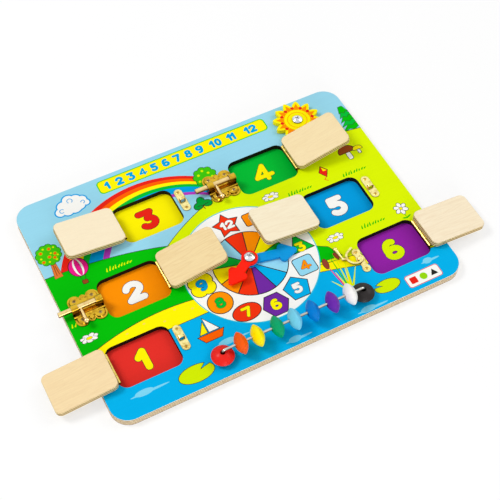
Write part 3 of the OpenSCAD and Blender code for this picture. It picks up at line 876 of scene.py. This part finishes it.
@dataclass
class FrontPicture(Picture):
    """The front panel's picture: a landscape, its motifs and the clock's dial.

    Each motif is a method that draws about the origin, and put() moves the origin to its place.
    """

    foot: float = -150.0
    edge_line: float = 0.8
    rainbow_at: tuple[float, float] = (-62.0, -8.0)
    clock: tuple[float, float] = (0.8, -34.0)
    dial_radius: float = 73.7
    sector_radius: float = 40.4
    across: np.ndarray = field(default_factory=lambda: np.linspace(-205, 205, 60))

    def paint(self) -> None:
        """Paints everything, from the back to the front."""
        for part in (self.rainbow, self.hills, self.shore, self.motifs):
            part()
        self.put(self.dial, self.clock)
        self.hours()

    def put(self, motif: Callable[..., None], *spots: Sequence[float | Ink]) -> None:
        """Draws a motif in each of its places.

        Args:
            motif: the method that draws it.
            *spots: for each place X, Y and the method's own arguments.
        """
        for x, y, *rest in spots:
            self.origin = (x, y)
            motif(*rest)
        self.origin = (0.0, 0.0)

    def rainbow(self) -> None:
        """Seven bands, wider on the left than on the right.

        Both the outer and the inner radius change evenly with the angle, and the bands share
        evenly what lies between them.
        """
        bands = (Ink.RED, Ink.DEEP_ORANGE, Ink.YELLOW, Ink.GREEN, Ink.SKY_BLUE, Ink.BLUE, Ink.VIOLET)
        turn = np.linspace(20, 168, 60)
        outer, inner = 121 + 0.1 * (turn - 50), 98 - 0.17 * (turn - 50)
        edges = [outer + (inner - outer) * share for share in np.linspace(0, 1, len(bands) + 1)]
        a = np.radians(turn)
        for ink, near, far in zip(bands, edges, edges[1:]):
            self.add(ink, np.concatenate([polar(a, near), polar(a, far)[::-1]]) + self.rainbow_at)

    def under(self, ink: Ink, x: np.ndarray, y: np.ndarray) -> None:
        """Fills what lies between a curve and the foot and draws a dark line along the curve.

        The line is the same shape in the line's colour, lifted by its width and painted first.

        Args:
            ink: the colour.
            x: the curve's places along X.
            y: its heights.
        """
        for lift, paint in ((self.edge_line, Ink.LINE), (0.0, ink)):
            curve = np.column_stack([x, y + lift])
            self.add(paint, np.concatenate([curve, [(x[-1], self.foot), (x[0], self.foot)]]))

    def hills(self) -> None:
        """Two hills, each a half ellipse, and the path with its grains of sand.

        The path's edge falls with the square of how far it is from the path's highest point.
        """
        x = self.across
        for ink, shown, base, height, middle, half in (
            (Ink.LIME, x > -110, -80, 160, 130, 262),
            (Ink.MEADOW, x < 60, -150, 195, -200, 300),
        ):
            hill = base + height * np.sqrt(np.clip(1 - ((x - middle) / half) ** 2, 0, 1))
            self.under(ink, x[shown], hill[shown])
        left = x[x < 20]
        self.under(Ink.YELLOW, left, -45.6 - 0.002 * (left + 108) ** 2)
        for u, v in ((-150, -54), (-130, -51), (-110, -58), (-95, -50), (-78, -57), (-60, -52), (-45, -60)):
            self.add(Ink.SAND, ellipse(u, v, 1.5, 0.9))

    def shore(self) -> None:
        """The bank on the right and the water along the front.

        On the left the water's edge is level. On the right it falls evenly and has a sine wave.
        """
        x = self.across
        self.add(Ink.LIME, polygon((30, -150), (30, 20), (205, 20), (205, -150)))
        self.add(Ink.MEADOW, polygon((56, -66), (66, -43), (84, -54), (92, -70)), line=0.7)
        bank = polygon((40, -62), (66, -71), (110, -77), (126, -112), (40, -112))
        self.add(Ink.YELLOW, bank, line=0.7)
        self.under(Ink.WATER, x, -69 - 0.2 * np.clip(x, 0, None) + 2.5 * np.sin(x / 30) * (x > 0))

    def motifs(self) -> None:
        """Puts the motifs in their places, in painting order."""
        for motif, *spots in (
            (self.cloud, (-138, 124)),
            (self.banner, (1, 130)),
            (self.tree, (-185, 72)),
            (self.bush, (9.5, 92)),
            (self.shrub, (-10, 59)),
            (self.fir, (194, 79)),
            (self.flower, (-186, -41), (61, 33.5), (97, -47)),
            (self.daisy, (180, -46)),
            (self.grass, (-122, 25, 32, Ink.LIME), (95, 25, 30, Ink.MEADOW), (163, 21, 32, Ink.MEADOW)),
            (self.grass, (145, -50, 32, Ink.MEADOW), (-193, -22, 7, Ink.LIME)),
            (self.lily, (-107, -127, 19, 42), (115, -125, 14.5, 150)),
            (self.ripple, (-156, -123, 21), (-58, -109, 20), (88, -141, 18), (172, -118, 11), (3, -138, 15)),
            (self.reeds, (78, -108)),
            (self.balloon, (-163, 40)),
            (self.mushrooms, (168, 51)),
            (self.kite, (130, 38)),
            (self.boat, (-74, -90)),
            (self.plate, (155, -132)),
        ):
            self.put(motif, *spots)

    def cloud(self) -> None:
        """A white cloud with a blue line and small curls."""
        size = 1.05
        lobes = (
            (-14, -5, 5), (-9, 1, 6), (-1, 6, 6.5), (6, 4, 6), (12, 1, 5), (15, -4, 3.4), (-6, -6, 6),
            (2, -4, 8), (8, -5, 5),
        )
        blobs = [disc(u * size, v * size, r * size, 28) for u, v, r in lobes]
        self.add(Ink.WHITE, *blobs, line=1.6, edge=Ink.SKY_BLUE)
        for u, v, r, a0, a1 in ((-12, -4, 2.4, 30, 300), (0, 5, 2.8, -60, 220), (12, -2, 2.0, -90, 170)):
            self.add(Ink.SKY_BLUE, *arc(u * size, v * size, r * size, 0.45, a0, a1))

    def banner(self) -> None:
        """The yellow band at the top with a row of numbers."""
        self.add(Ink.LEAF, rounded_box(0, 0, 209, 18.6, 5))
        self.add(Ink.YELLOW, rounded_box(0, 0, 206.6, 16.2, 4.2))
        bold = Digits(0.14, 0.4)
        for k, x in enumerate([14.1 * k - 93 for k in range(9)] + [38.5, 60.5, 83]):
            self.add(Ink.TITLE, *bold.number(str(k + 1), x, 0, 11.4))

    def tree(self) -> None:
        """A round tree with fruit."""
        self.add(Ink.TRUNK, polygon((-5, -31), (-2.4, -12), (2.6, -12), (4, -31)), line=0.3)
        self.add(Ink.BROWN, stroke(-1.6, -28, -0.6, -14, 0.4), stroke(1.4, -27, 0.8, -16, 0.4))
        self.add(Ink.LEAF, petals(0, 1, 14, 1.8, 11, 8), line=0.6)
        for u, v in ((-3, 10), (8, 8), (-9, -1), (3, 2), (9, -3), (-2, -8), (6, -8)):
            self.add(Ink.LIME, disc(u, v, 1.2, 14))
        for u, v in ((-7, 6), (3, 8), (-8, -6), (7, 0), (0, -2), (5, -5)):
            self.add(Ink.LIGHT_GREEN, disc(u, v, 2.5, 18))
            self.add(Ink.DEEP_ORANGE, disc(u, v, 1.6, 16))

    def bush(self) -> None:
        """A low round bush with yellow buds."""
        size = 1.05
        self.add(Ink.LEAF, petals(0, 0, 13 * size, 2.2 * size, 9, 10), line=0.6)
        for u, v in ((-6, 4), (0, 8), (5, 3), (7, -3), (-2, -3), (-8, -4)):
            self.add(Ink.LIME, disc(u * size, v * size, 1.5 * size, 16))

    def shrub(self) -> None:
        """A dark shrub of three lobes on a short stem."""
        self.add(Ink.BROWN, stroke(0, -7, -1, 0, 0.6))
        lobes = ((-5, -1, 20), (0, 4, 90), (5.4, -1, -20))
        self.add(Ink.SHRUB, *(ellipse(u, v, 5.4, 4.2, turn, 24) for u, v, turn in lobes), line=0.8)
        self.add(Ink.LINE, *path(polygon((-6, -1), (0, -2), (6, -1)), 0.35))

    def reeds(self) -> None:
        """A tuft of reeds with two bulrushes."""
        for u, v, ink in (
            (-12, 14, Ink.LIME), (-7, 34, Ink.PINK), (1, 40, Ink.LEAF), (6, 44, Ink.LIME),
            (14, 36, Ink.LIME), (9, 24, Ink.YELLOW), (-3, 22, Ink.YELLOW), (20, 20, Ink.LIME),
        ):
            self.add(ink, stroke(u * 0.3, 0, u, v, 1.1, 0.3))
        for u, v, a, b, turn in ((-7, 36, 2.8, 6.6, -6), (8, 40, 1.8, 4.6, 8)):
            self.add(Ink.RUSH, ellipse(u, v, a, b, turn, 24), line=0.5)

    def daisy(self) -> None:
        """A standing daisy with a green stem."""
        self.add(Ink.MEADOW, *path(polygon((0, 0), (-0.5, -8), (0.5, -14)), 0.4))
        self.add(Ink.MEADOW, ellipse(2.5, -12.5, 3, 0.9, 20, 16), ellipse(-2.3, -13, 3, 0.9, -20, 16))
        for turn in range(30, 390, 60):
            u, v = turned(polygon((4.6, 0)), turn)[0]
            self.add(Ink.WHITE, ellipse(u, v, 3.4, 2.2, turn, 24), line=0.6)
        self.add(Ink.YELLOW, disc(0, 0, 1.7, 16), line=0.4)

    def fir(self) -> None:
        """A fir tree of five tiers, each narrower than the one below by the same step."""
        for k in range(5):
            half, low = 14.4 - 2.2 * k, 6.6 * k - 2
            skirt = polygon((-half, low), (-half * 0.4, low + 1.4), (0, low - 1.2), (half * 0.4, low + 1.4))
            crown = polygon((half, low), (2.4, low + 9.5), (-2.4, low + 9.5))
            self.add(Ink.GREEN if k % 2 else Ink.MEADOW, np.concatenate([skirt, crown]), line=0.5)

    def flower(self) -> None:
        """A daisy lying on the grass.

        Its petals stand evenly round an ellipse, slanted by the sine of twice their angle.
        """
        for k in range(7):
            a = math.radians(360 / 7 * k + 10)
            turn = 20 * math.sin(2 * a)
            self.add(Ink.WHITE, ellipse(6.4 * math.cos(a), 3 * math.sin(a), 3.3, 1.9, turn, 20), line=0.5)
        self.add(Ink.WHITE, ellipse(0, 0, 5.0, 2.6, 0, 24))
        self.add(Ink.YELLOW, ellipse(0, 0, 3.2, 1.5, 0, 20), line=0.35)

    def grass(self, wide: float, ink: Ink) -> None:
        """A row of blades.

        They get shorter evenly to the right, and every other one is three tenths shorter still.

        Args:
            wide: the row's width.
            ink: its colour.
        """
        step = 3.3
        count = int(wide / step)
        for k in range(count):
            u = step * k - wide / 2
            tall = 5.0 * (1 - 0.75 * k / count) * (1 if k % 2 else 0.7)
            self.add(ink, stroke(u, 0, u + (2.0 if k % 3 else 1.0), tall, 0.85, 0.4))

    def lily(self, r: float, turn: float) -> None:
        """A lily pad: an ellipse half as high as wide, with a notch of 24 degrees.

        Args:
            r: half its width.
            turn: the notch's angle in degrees.
        """
        rim = polar(np.radians(np.linspace(turn + 12, turn + 348, 48)), r) * (1, 0.5)
        heart = polar(np.radians([turn]), r) * (0.35, 0.18)
        self.add(Ink.PAD, np.concatenate([rim, heart]), line=0.7)

    def ripple(self, a: float) -> None:
        """A pale ripple with a thicker middle, as wide as twice a."""
        self.add(Ink.RIPPLE, ellipse(0, 0, a, 1.3), ellipse(-0.28 * a, 0.7, 0.48 * a, 3.5))

    def balloon(self) -> None:
        """A pink hot-air balloon with two white stripes."""
        for side in (-1, 1):
            self.add(Ink.LINE, *path(polygon((4 * side, -3), (1.6 * side, -14)), 0.25))
        self.add(Ink.PINK, ellipse(0, 4, 10, 11.5), line=0.9)
        self.add(Ink.WHITE, ellipse(0, 4, 5.2, 11.3))
        self.add(Ink.LINE, ellipse(0, 4, 2.8, 11.2))
        self.add(Ink.PINK, ellipse(0, 4, 2.4, 11.0))
        self.add(Ink.BROWN, rounded_box(0, -16, 5.4, 4.6, 1.0), line=0.7)

    def mushrooms(self) -> None:
        """A brown mushroom beside a small yellow one."""
        for u, v, size, ink in ((0, 0, 1.0, Ink.BROWN), (13, -2, 0.55, Ink.YELLOW)):
            self.add(Ink.WHITE, rounded_box(u, v - 7 * size, 5 * size, 10 * size, 1.6 * size), line=0.7)
            cap = ellipse(0, 0, 10 * size, 8 * size)
            cap[:, 1] = np.maximum(cap[:, 1], -1.5 * size)
            self.add(ink, cap + (u, v), line=0.7)

    def kite(self) -> None:
        """A small red kite on the grass."""
        self.add(Ink.RED, polygon((0, 7), (-5, 0), (0, -8), (5, 0)), line=0.7)
        self.add(Ink.YELLOW, polygon((0, 6.4), (0, 0), (4.4, 0)))
        self.add(Ink.RED, *path(polygon((0, -8), (-4, -11), (-1, -14)), 0.4))

    def boat(self) -> None:
        """A toy boat with a white and a yellow sail."""
        self.add(Ink.WHITE, polygon((-1, 0), (-1, 17), (10, 0)), line=0.8)
        self.add(Ink.YELLOW, polygon((-3, 0), (-3, 13), (-11, 0)), line=0.8)
        self.add(Ink.DEEP_ORANGE, polygon((-14, -2), (-9, -10), (9, -10), (14, -2)), line=0.8)

    def plate(self) -> None:
        """A white plate with a square, a disc and a triangle."""
        self.add(Ink.RED, rounded_box(0, 0, 40.6, 15.6, 3.2))
        self.add(Ink.WHITE, rounded_box(0, 0, 39.2, 14.2, 2.6))
        self.add(Ink.RED, rounded_box(-12, 0, 8, 8, 1.2))
        self.add(Ink.LIGHT_GREEN, disc(0, 0, 4.2))
        self.add(Ink.LINE, regular(12, -1, 5, 3, 90))

    def dial(self) -> None:
        """The clock's white dial with its twelve sectors of 30 degrees, less a thin dark gap."""
        self.add(Ink.CYAN_LINE, disc(0, 0, self.dial_radius + 0.6, 120))
        self.add(Ink.WHITE, disc(0, 0, self.dial_radius - 0.4, 120))
        self.add(Ink.LINE, disc(0, 0, self.sector_radius + 0.6, 96))
        wheel = (Ink.FIRE, Ink.ORANGE, Ink.YELLOW, Ink.GREEN, Ink.PALE_BLUE, Ink.WATER, Ink.INDIGO)
        for hour in range(12):
            middle = 90 - 30 * hour
            rim = polar(np.radians(np.linspace(middle - 14.2, middle + 14.2, 9)), self.sector_radius - 0.45)
            start = polar(np.radians([middle]), 1.9)
            self.add(wheel[hour % len(wheel)], np.concatenate([start, rim]))

    def hours(self) -> None:
        """The twelve shapes and their numbers."""
        shapes: dict[int, tuple[Points, Ink, Ink, float]] = {
            1: (rounded_box(28.5, 16.8, 17, 15.5, 2.2), Ink.ORANGE, Ink.WHITE, 12),
            2: (disc(50, -2, 11), Ink.YELLOW, Ink.BLUE, 13),
            3: (polygon((57.5, -24), (46, -45.5), (71, -45.5)), Ink.GREEN, Ink.YELLOW, 12.5),
            4: (rounded_box(51, -63, 21.5, 21.5, 3), Ink.PALE_BLUE, Ink.ORANGE, 13),
            5: (regular(30, -84.5, 14.5, 5, 90), Ink.WATER, Ink.WHITE, 13),
            6: (regular(0.8, -92, 14.2, 6, 0), Ink.INDIGO, Ink.YELLOW, 13.5),
            7: (ellipse(-30, -86.5, 15.2, 9.8), Ink.FIRE, Ink.YELLOW, 12.5),
            8: (disc(-49.5, -64, 13), Ink.ORANGE, Ink.GREEN, 13),
            9: (petals(-57, -36, 15, 3.4, 4, 45), Ink.YELLOW, Ink.BLUE, 14),
            10: (regular(-49, -6, 12.5, 8, 22.5), Ink.GREEN, Ink.YELLOW, 11),
            11: (rounded_box(-28, 17, 20, 16, 7), Ink.PINK, Ink.WHITE, 11),
            12: (regular(0.6, 21, 14.8, 5, 90, 8.4), Ink.FIRE, Ink.WHITE, 11),
        }
        bold = Digits(0.132, 0.42)
        nudges = {1: (1.6, -0.5), 3: (0.0, -2.0), 12: (-1.3, 0.0)}
        for hour, (shape, ink, mark, height) in shapes.items():
            self.add(ink, shape, line=0.95)
            u, v = shape.mean(axis=0) + nudges.get(hour, (0.0, 0.0))
            self.add(mark, *bold.number(str(hour), u, v, height), line=0.4)


# ---------------------------------------------------------------- sub-assemblies


@dataclass
class Board:
    """The two panels, the picture on the front and the coloured window floors."""

    width: float = 400.0
    depth: float = 289.5
    corner: float = 20.0
    back: float = 3.5
    top: float = 10.0
    window: tuple[float, float, float] = (70.0, 50.4, 10.0)
    windows: tuple[tuple[float, float], ...] = (
        (-145.6, -85.6),
        (-121.6, -7.2),
        (-70.0, 71.2),
        (71.2, 71.2),
        (122.8, -7.2),
        (146.8, -85.6),
    )
    floors: tuple[tuple[Ink, Ink], ...] = (
        (Ink.FLOOR_RED, Ink.YELLOW),
        (Ink.ORANGE, Ink.WHITE),
        (Ink.YELLOW, Ink.RED),
        (Ink.GREEN, Ink.YELLOW),
        (Ink.BLUE, Ink.WHITE),
        (Ink.PURPLE, Ink.LIME),
    )
    numeral: float = 27.0
    past_edge: float = 2.0
    tile_gap: float = 0.02

    def openings(self, gap: float = 0.0) -> list[Points]:
        """The windows' edges, made smaller by a gap."""
        w, d, r = self.window
        return [rounded_box(x, y, w - gap, d - gap, r) for x, y in self.windows]

    def floor_picture(self) -> Picture:
        """The coloured window floors with their numbers, each painted a little past its window.

        Returns:
            The picture of all six.
        """
        picture = Picture()
        w, d, _ = self.window
        bold = Digits(0.14, 0.415)
        for k, ((x, y), (ground, mark)) in enumerate(zip(self.windows, self.floors)):
            picture.add(ground, rounded_box(x, y, w + 2 * self.past_edge, d + 2 * self.past_edge, 4))
            picture.add(mark, *bold.number(str(k + 1), x, y + 0.5, self.numeral), line=0.55)
        return picture

    def build(self) -> None:
        """Makes the prints and dresses the panels."""
        print_ink = PrintInk().material("print_ink")
        picture = FrontPicture()
        picture.paint()
        edge = rounded_box(0, 0, self.width, self.depth, self.corner)
        sheet = picture.sheet("front_print", edge, self.openings(), self.top)
        finish_piece(sheet, "board", print_ink)
        floors = self.floor_picture()
        for k, edge in enumerate(self.openings(self.tile_gap)):
            tile = floors.sheet(f"window_print_{k + 1}", edge, [], self.back)
            finish_piece(tile, "board", print_ink)
        front = PanelCut(self.width, self.depth, self.back, self.top - self.back)
        rear = PanelCut(self.width, self.depth, 0.0, self.back, plies=3, wall=self.width)
        dress_nodes(front.material("panel_cut"), "front_panel")
        dress_nodes(rear.material("back_ply"), "back_panel")


@dataclass
class Doors:
    """The six doors with their hinges, screws, keepers, hooks and catches."""

    thick: float = 6.2
    pin_z: float = 11.95
    pin_x: tuple[float, ...] = (-179.6, -87.6, -104.0, 105.2, 88.8, 180.8)
    tilt: tuple[float, ...] = (-4.8, 9.8, 7.2, 12.6, 7.2, -5.2)
    opens: tuple[int, ...] = (-1, 1, -1, 1, -1, 1)
    hooks: tuple[int, ...] = (1, 3, 5, 6)
    bolts: tuple[int, ...] = (2, 4)
    figures: tuple[float, ...] = (0.9, 1.3, 0.35, 0.7, 0.8, 1.0)
    faces: tuple[Colour, ...] = (
        srgb(242, 217, 170),
        srgb(240, 216, 164),
        srgb(247, 232, 200),
        srgb(243, 222, 175),
        srgb(247, 235, 205),
        srgb(248, 233, 203),
    )
    # each metal's second colour is painted shade for its sides, and corner sets its painted shade in corners
    metals: Mapping[str, Metal] = field(
        default_factory=lambda: {
            "pale_brass": Metal(srgb(253, 240, 164), srgb(146, 104, 26), srgb(206, 166, 60), stains=0.9),
            "hinge_brass": Metal(srgb(246, 220, 120), srgb(150, 104, 26), srgb(206, 160, 56)),
            "brass_screws": Metal(srgb(232, 196, 96), srgb(120, 76, 20), srgb(148, 100, 30), stains=1.0),
            # the bolt's screws: darker brass, with the strongest painted shade in corners and on their sides
            "worn_screws": Metal(
                srgb(176, 148, 92), srgb(74, 48, 20), srgb(104, 76, 40), stains=1.0, corner=0.9
            ),
            "gold_brass": Metal(
                srgb(224, 182, 52), srgb(114, 76, 10), srgb(160, 112, 18), 0.16, stains=0.9, corner=0.92
            ),
            "rod_brass": Metal(srgb(250, 222, 156), srgb(150, 100, 44), srgb(214, 170, 96), 0.14),
        }
    )

    def wood(self, k: int) -> bpy.types.Material:
        """The ply of one door as it lies open.

        Args:
            k: the door's number less one.

        Returns:
            The material.
        """
        slope = math.radians(self.tilt[k])
        up = (-self.opens[k] * math.sin(slope), 0.0, math.cos(slope))
        pin = (self.pin_x[k], 0.0, self.pin_z)
        ply = Plywood(pin, up, self.thick, self.faces[k], self.figures[k], shift=37.0 * k)
        return ply.material(f"birch_{k + 1}")

    def build(self) -> None:
        """Dresses the doors and their metal."""
        doors = range(1, len(self.tilt) + 1)
        for k in doors:
            dress_nodes(self.wood(k - 1), f"door_{k}")
        parts: dict[str, list[str]] = {
            "pale_brass": [
                name.format(k) for k in self.hooks for name in ("hook_{}_plate", "hook_{}_arm", "catch_{}")
            ],
            "hinge_brass": ["hinge_board_leaves", "hinge_pins", *(f"hinge_{k}_door_leaf" for k in doors)],
            "brass_screws": ["board_screws", *(f"door_{k}_screws" for k in doors)],
            "worn_screws": ["bolt_screws"],
            "gold_brass": [name.format(k) for k in self.bolts for name in ("bolt_{}_case", "keeper_{}")],
            "rod_brass": [name.format(k) for k in self.bolts for name in ("bolt_{}_rod", "bolt_{}_knob")],
        }
        for name, metal in self.metals.items():
            dress_nodes(metal.material(name), *parts[name])


@dataclass
class Clock:
    """The clock's painted hands, the large screws with their washers, and the bead wire."""

    blue: Paint = Paint(srgb(0, 150, 222))
    red: Paint = Paint(srgb(255, 30, 4))
    # the second colour of each metal is painted shade for faces that don't point up
    steel: Metal = Metal(srgb(236, 238, 244), srgb(112, 112, 116), srgb(170, 174, 182), 0.12, 0.04)
    wire: Metal = Metal(srgb(214, 212, 204), srgb(84, 80, 72), srgb(150, 146, 132), 0.2)

    def build(self) -> None:
        """Dresses the hands and the steel."""
        dress_nodes(self.blue.material("blue_hand"), "long_hand")
        dress_nodes(self.red.material("red_hand"), "short_hand")
        dress_nodes(self.steel.material("steel"), "disc_screws", "disc_washers")
        dress_nodes(self.wire.material("wire"), "bead_wire")


@dataclass
class SunWheel:
    """The turning sun with the print on its face."""

    centre: tuple[float, float] = (138.1, 113.35)
    base: float = 10.575
    thick: float = 5.4
    radius: float = 28.2
    notch: float = 19.8
    rays: int = 12
    turn: float = 6.0
    bore: float = 2.3
    inset: float = 0.15

    def outline(self) -> Points:
        """The print's edge, a little inside the wheel's.

        Along the edge the radius falls from a ray's tip to the notch by the power 1.3 of how
        far the point is from the ray.

        Returns:
            The outline.
        """
        turn = np.arange(self.rays * 16) * 360 / (self.rays * 16)
        phase = turn * self.rays / 180
        away = np.abs(phase - 2 * np.floor((phase + 1) / 2))
        r = self.notch + (self.radius - self.notch) * (1 - away**1.3) - self.inset
        return polar(np.radians(turn + self.turn), r) + self.centre

    def build(self) -> None:
        """Makes the sun's print and dresses the wheel."""
        picture = Picture(origin=self.centre)
        picture.add(Ink.YELLOW, disc(0, 0, self.radius + 2, 48))
        flame = polygon((24.6, 0), (17, 3.4), (15.4, 0), (17, -3.4))
        for k in range(self.rays):
            at = self.turn + 360 / self.rays * k
            picture.add(Ink.ORANGE, turned(flame, at))
            u, v = turned(polygon((18.2, 0)), at + 15)[0]
            picture.add(Ink.RED, disc(u, v, 2.1))
        for ink, r in ((Ink.ORANGE, 16.2), (Ink.YELLOW, 15.2), (Ink.ORANGE, 11.6), (Ink.YELLOW, 10.9)):
            picture.add(ink, disc(0, 0, r))
        bore = disc(*self.centre, self.bore)
        face = picture.sheet("sun_print", self.outline(), [bore], self.base + self.thick)
        finish_piece(face, "sun", PrintInk().material("sun_ink"))
        dress_nodes(Paint(srgb(255, 236, 0), 0.4, 0.1).material("sun_paint"), "sun_wheel")


@dataclass
class Beads:
    """The nine painted beads on the wire."""

    colours: Mapping[str, Colour] = field(
        default_factory=lambda: {
            "red": srgb(232, 36, 28),
            "orange": srgb(244, 92, 12),
            "yellow": srgb(255, 236, 0),
            "green": srgb(0, 162, 106),
            "light_blue": srgb(120, 208, 236),
            "blue": srgb(0, 122, 206),
            "purple": srgb(108, 42, 168),
            "white": srgb(246, 244, 240),
            "black": srgb(44, 40, 40),
        }
    )

    def build(self) -> None:
        """Dresses the beads."""
        for name, colour in self.colours.items():
            dress_nodes(Paint(colour).material(f"{name}_bead"), f"bead_{name}")


@dataclass(frozen=True)
class Lamp:
    """A round area light that looks at the board, with its power in watts."""

    name: str
    at: tuple[float, float, float]
    size: float
    power: float

    def build(self) -> None:
        """Hangs the lamp."""
        data = bpy.data.lights.new(self.name, "AREA")
        data.shape = "DISK"
        data.size = self.size * MM
        data.energy = self.power
        item = bpy.data.objects.new(self.name, data)
        place = Vector(self.at) * MM
        aim = (-place).to_track_quat("-Z", "Y").to_matrix().to_4x4()
        item.matrix_world = Matrix.Translation(place) @ aim
        bpy.context.scene.collection.objects.link(item)


@dataclass
class Studio:
    """The white floor, the light and the camera."""

    image: int = 500
    focal: float = 1137.6
    sensor: float = 36.0
    clip_m: tuple[float, float] = (0.05, 20.0)
    eye: tuple[float, float, float] = (-310.23, -627.98, 1008.72)
    forward: tuple[float, float, float] = (0.26265625, 0.5020947, -0.82396153)
    up: tuple[float, float, float] = (0.37751189, 0.73239699, 0.56663871)
    floor_half: float = 3000.0
    floor_z: float = -0.05
    floor_glow: float = 0.6
    horizon: tuple[float, float] = (0.02, 0.7)
    sky: tuple[float, float] = (0.2, 0.56)
    white: Colour = (1.0, 1.0, 1.0)
    lamps: tuple[Lamp, ...] = (
        Lamp("key", (-1620, 1180, 2640), 1150, 47.0),
        Lamp("side", (2300, -200, 1900), 1800, 18.0),
        Lamp("fill", (-350, -1900, 520), 1000, 14.0),
    )

    def camera(self) -> None:
        """Sets the camera, whose focal length is counted in the picture's pixels."""
        data = bpy.data.cameras.new("camera")
        data.sensor_width = self.sensor
        data.lens = self.focal / self.image * self.sensor
        data.clip_start, data.clip_end = self.clip_m
        item = bpy.data.objects.new("camera", data)
        back = -Vector(self.forward).normalized()
        right = Vector(self.up).cross(back).normalized()
        turn = Matrix((right, back.cross(right), back)).transposed().to_4x4()
        item.matrix_world = Matrix.Translation(Vector(self.eye) * MM) @ turn
        bpy.context.scene.collection.objects.link(item)
        bpy.context.scene.camera = item

    def world(self) -> None:
        """Light that fades towards the horizon, and a white background for the camera."""
        world = bpy.data.worlds.new("world")
        bpy.context.scene.world = world
        world.use_nodes = True
        ink = Nodes(world.node_tree)
        height = ink.split(ink.out("ShaderNodeTexCoord", "Generated"))[2]
        ends = {1: self.horizon[0], 2: self.horizon[1], 3: self.sky[0], 4: self.sky[1]}
        strength = ink.out("ShaderNodeMapRange", "Result", {0: height, **ends})
        light = ink.out("ShaderNodeBackground", 0, {"Color": self.white, "Strength": strength})
        seen = ink.out("ShaderNodeBackground", 0, {"Color": self.white, "Strength": 1.0})
        both = ink.out("ShaderNodeMixShader", 0, {0: ink.plain_view(), 1: light, 2: seen})
        ink.node("ShaderNodeOutputWorld", {"Surface": both})

    def floor(self) -> None:
        """A white floor under the board: it keeps a soft shadow and the camera sees it white."""
        signs = np.array([(-1, -1), (1, -1), (1, 1), (-1, 1)])
        corners = np.column_stack([signs * self.floor_half, np.full(4, self.floor_z)])
        piece = mesh_object("studio_floor", corners, [(0, 1, 2, 3)])
        ink = Shader("floor_paper")
        cloud = ink.noise(ink.place(), (300.0, 300.0, 300.0), 2.0)
        paper = ink.scale((0.97, 0.97, 0.97), 0.99 + 0.02 * cloud)
        material = ink.dress(base_color=paper, roughness=0.9, specular_ior_level=0.0)
        glow = ink.out("ShaderNodeEmission", 0, {"Color": self.white, "Strength": 1.0})
        shown = Socket(ink, ink.surface.outputs["BSDF"])
        share = ink.plain_view() * self.floor_glow
        both = ink.out("ShaderNodeMixShader", 0, {0: share, 1: shown, 2: glow})
        ink.fill(ink.output.inputs["Surface"], both)
        wear(piece, material)

    def build(self) -> None:
        """Makes the studio."""
        self.camera()
        self.world()
        self.floor()
        for lamp in self.lamps:
            lamp.build()
        bpy.context.scene.view_settings.view_transform = "Standard"


def main() -> None:
    """Builds the studio and dresses the part."""
    logging.basicConfig(level=logging.INFO, format="%(message)s")
    for item in (Studio(), Board(), Doors(), Clock(), SunWheel(), Beads()):
        item.build()
        LOG.info("%s done", type(item).__name__)


if __name__ == "__main__":
    main()
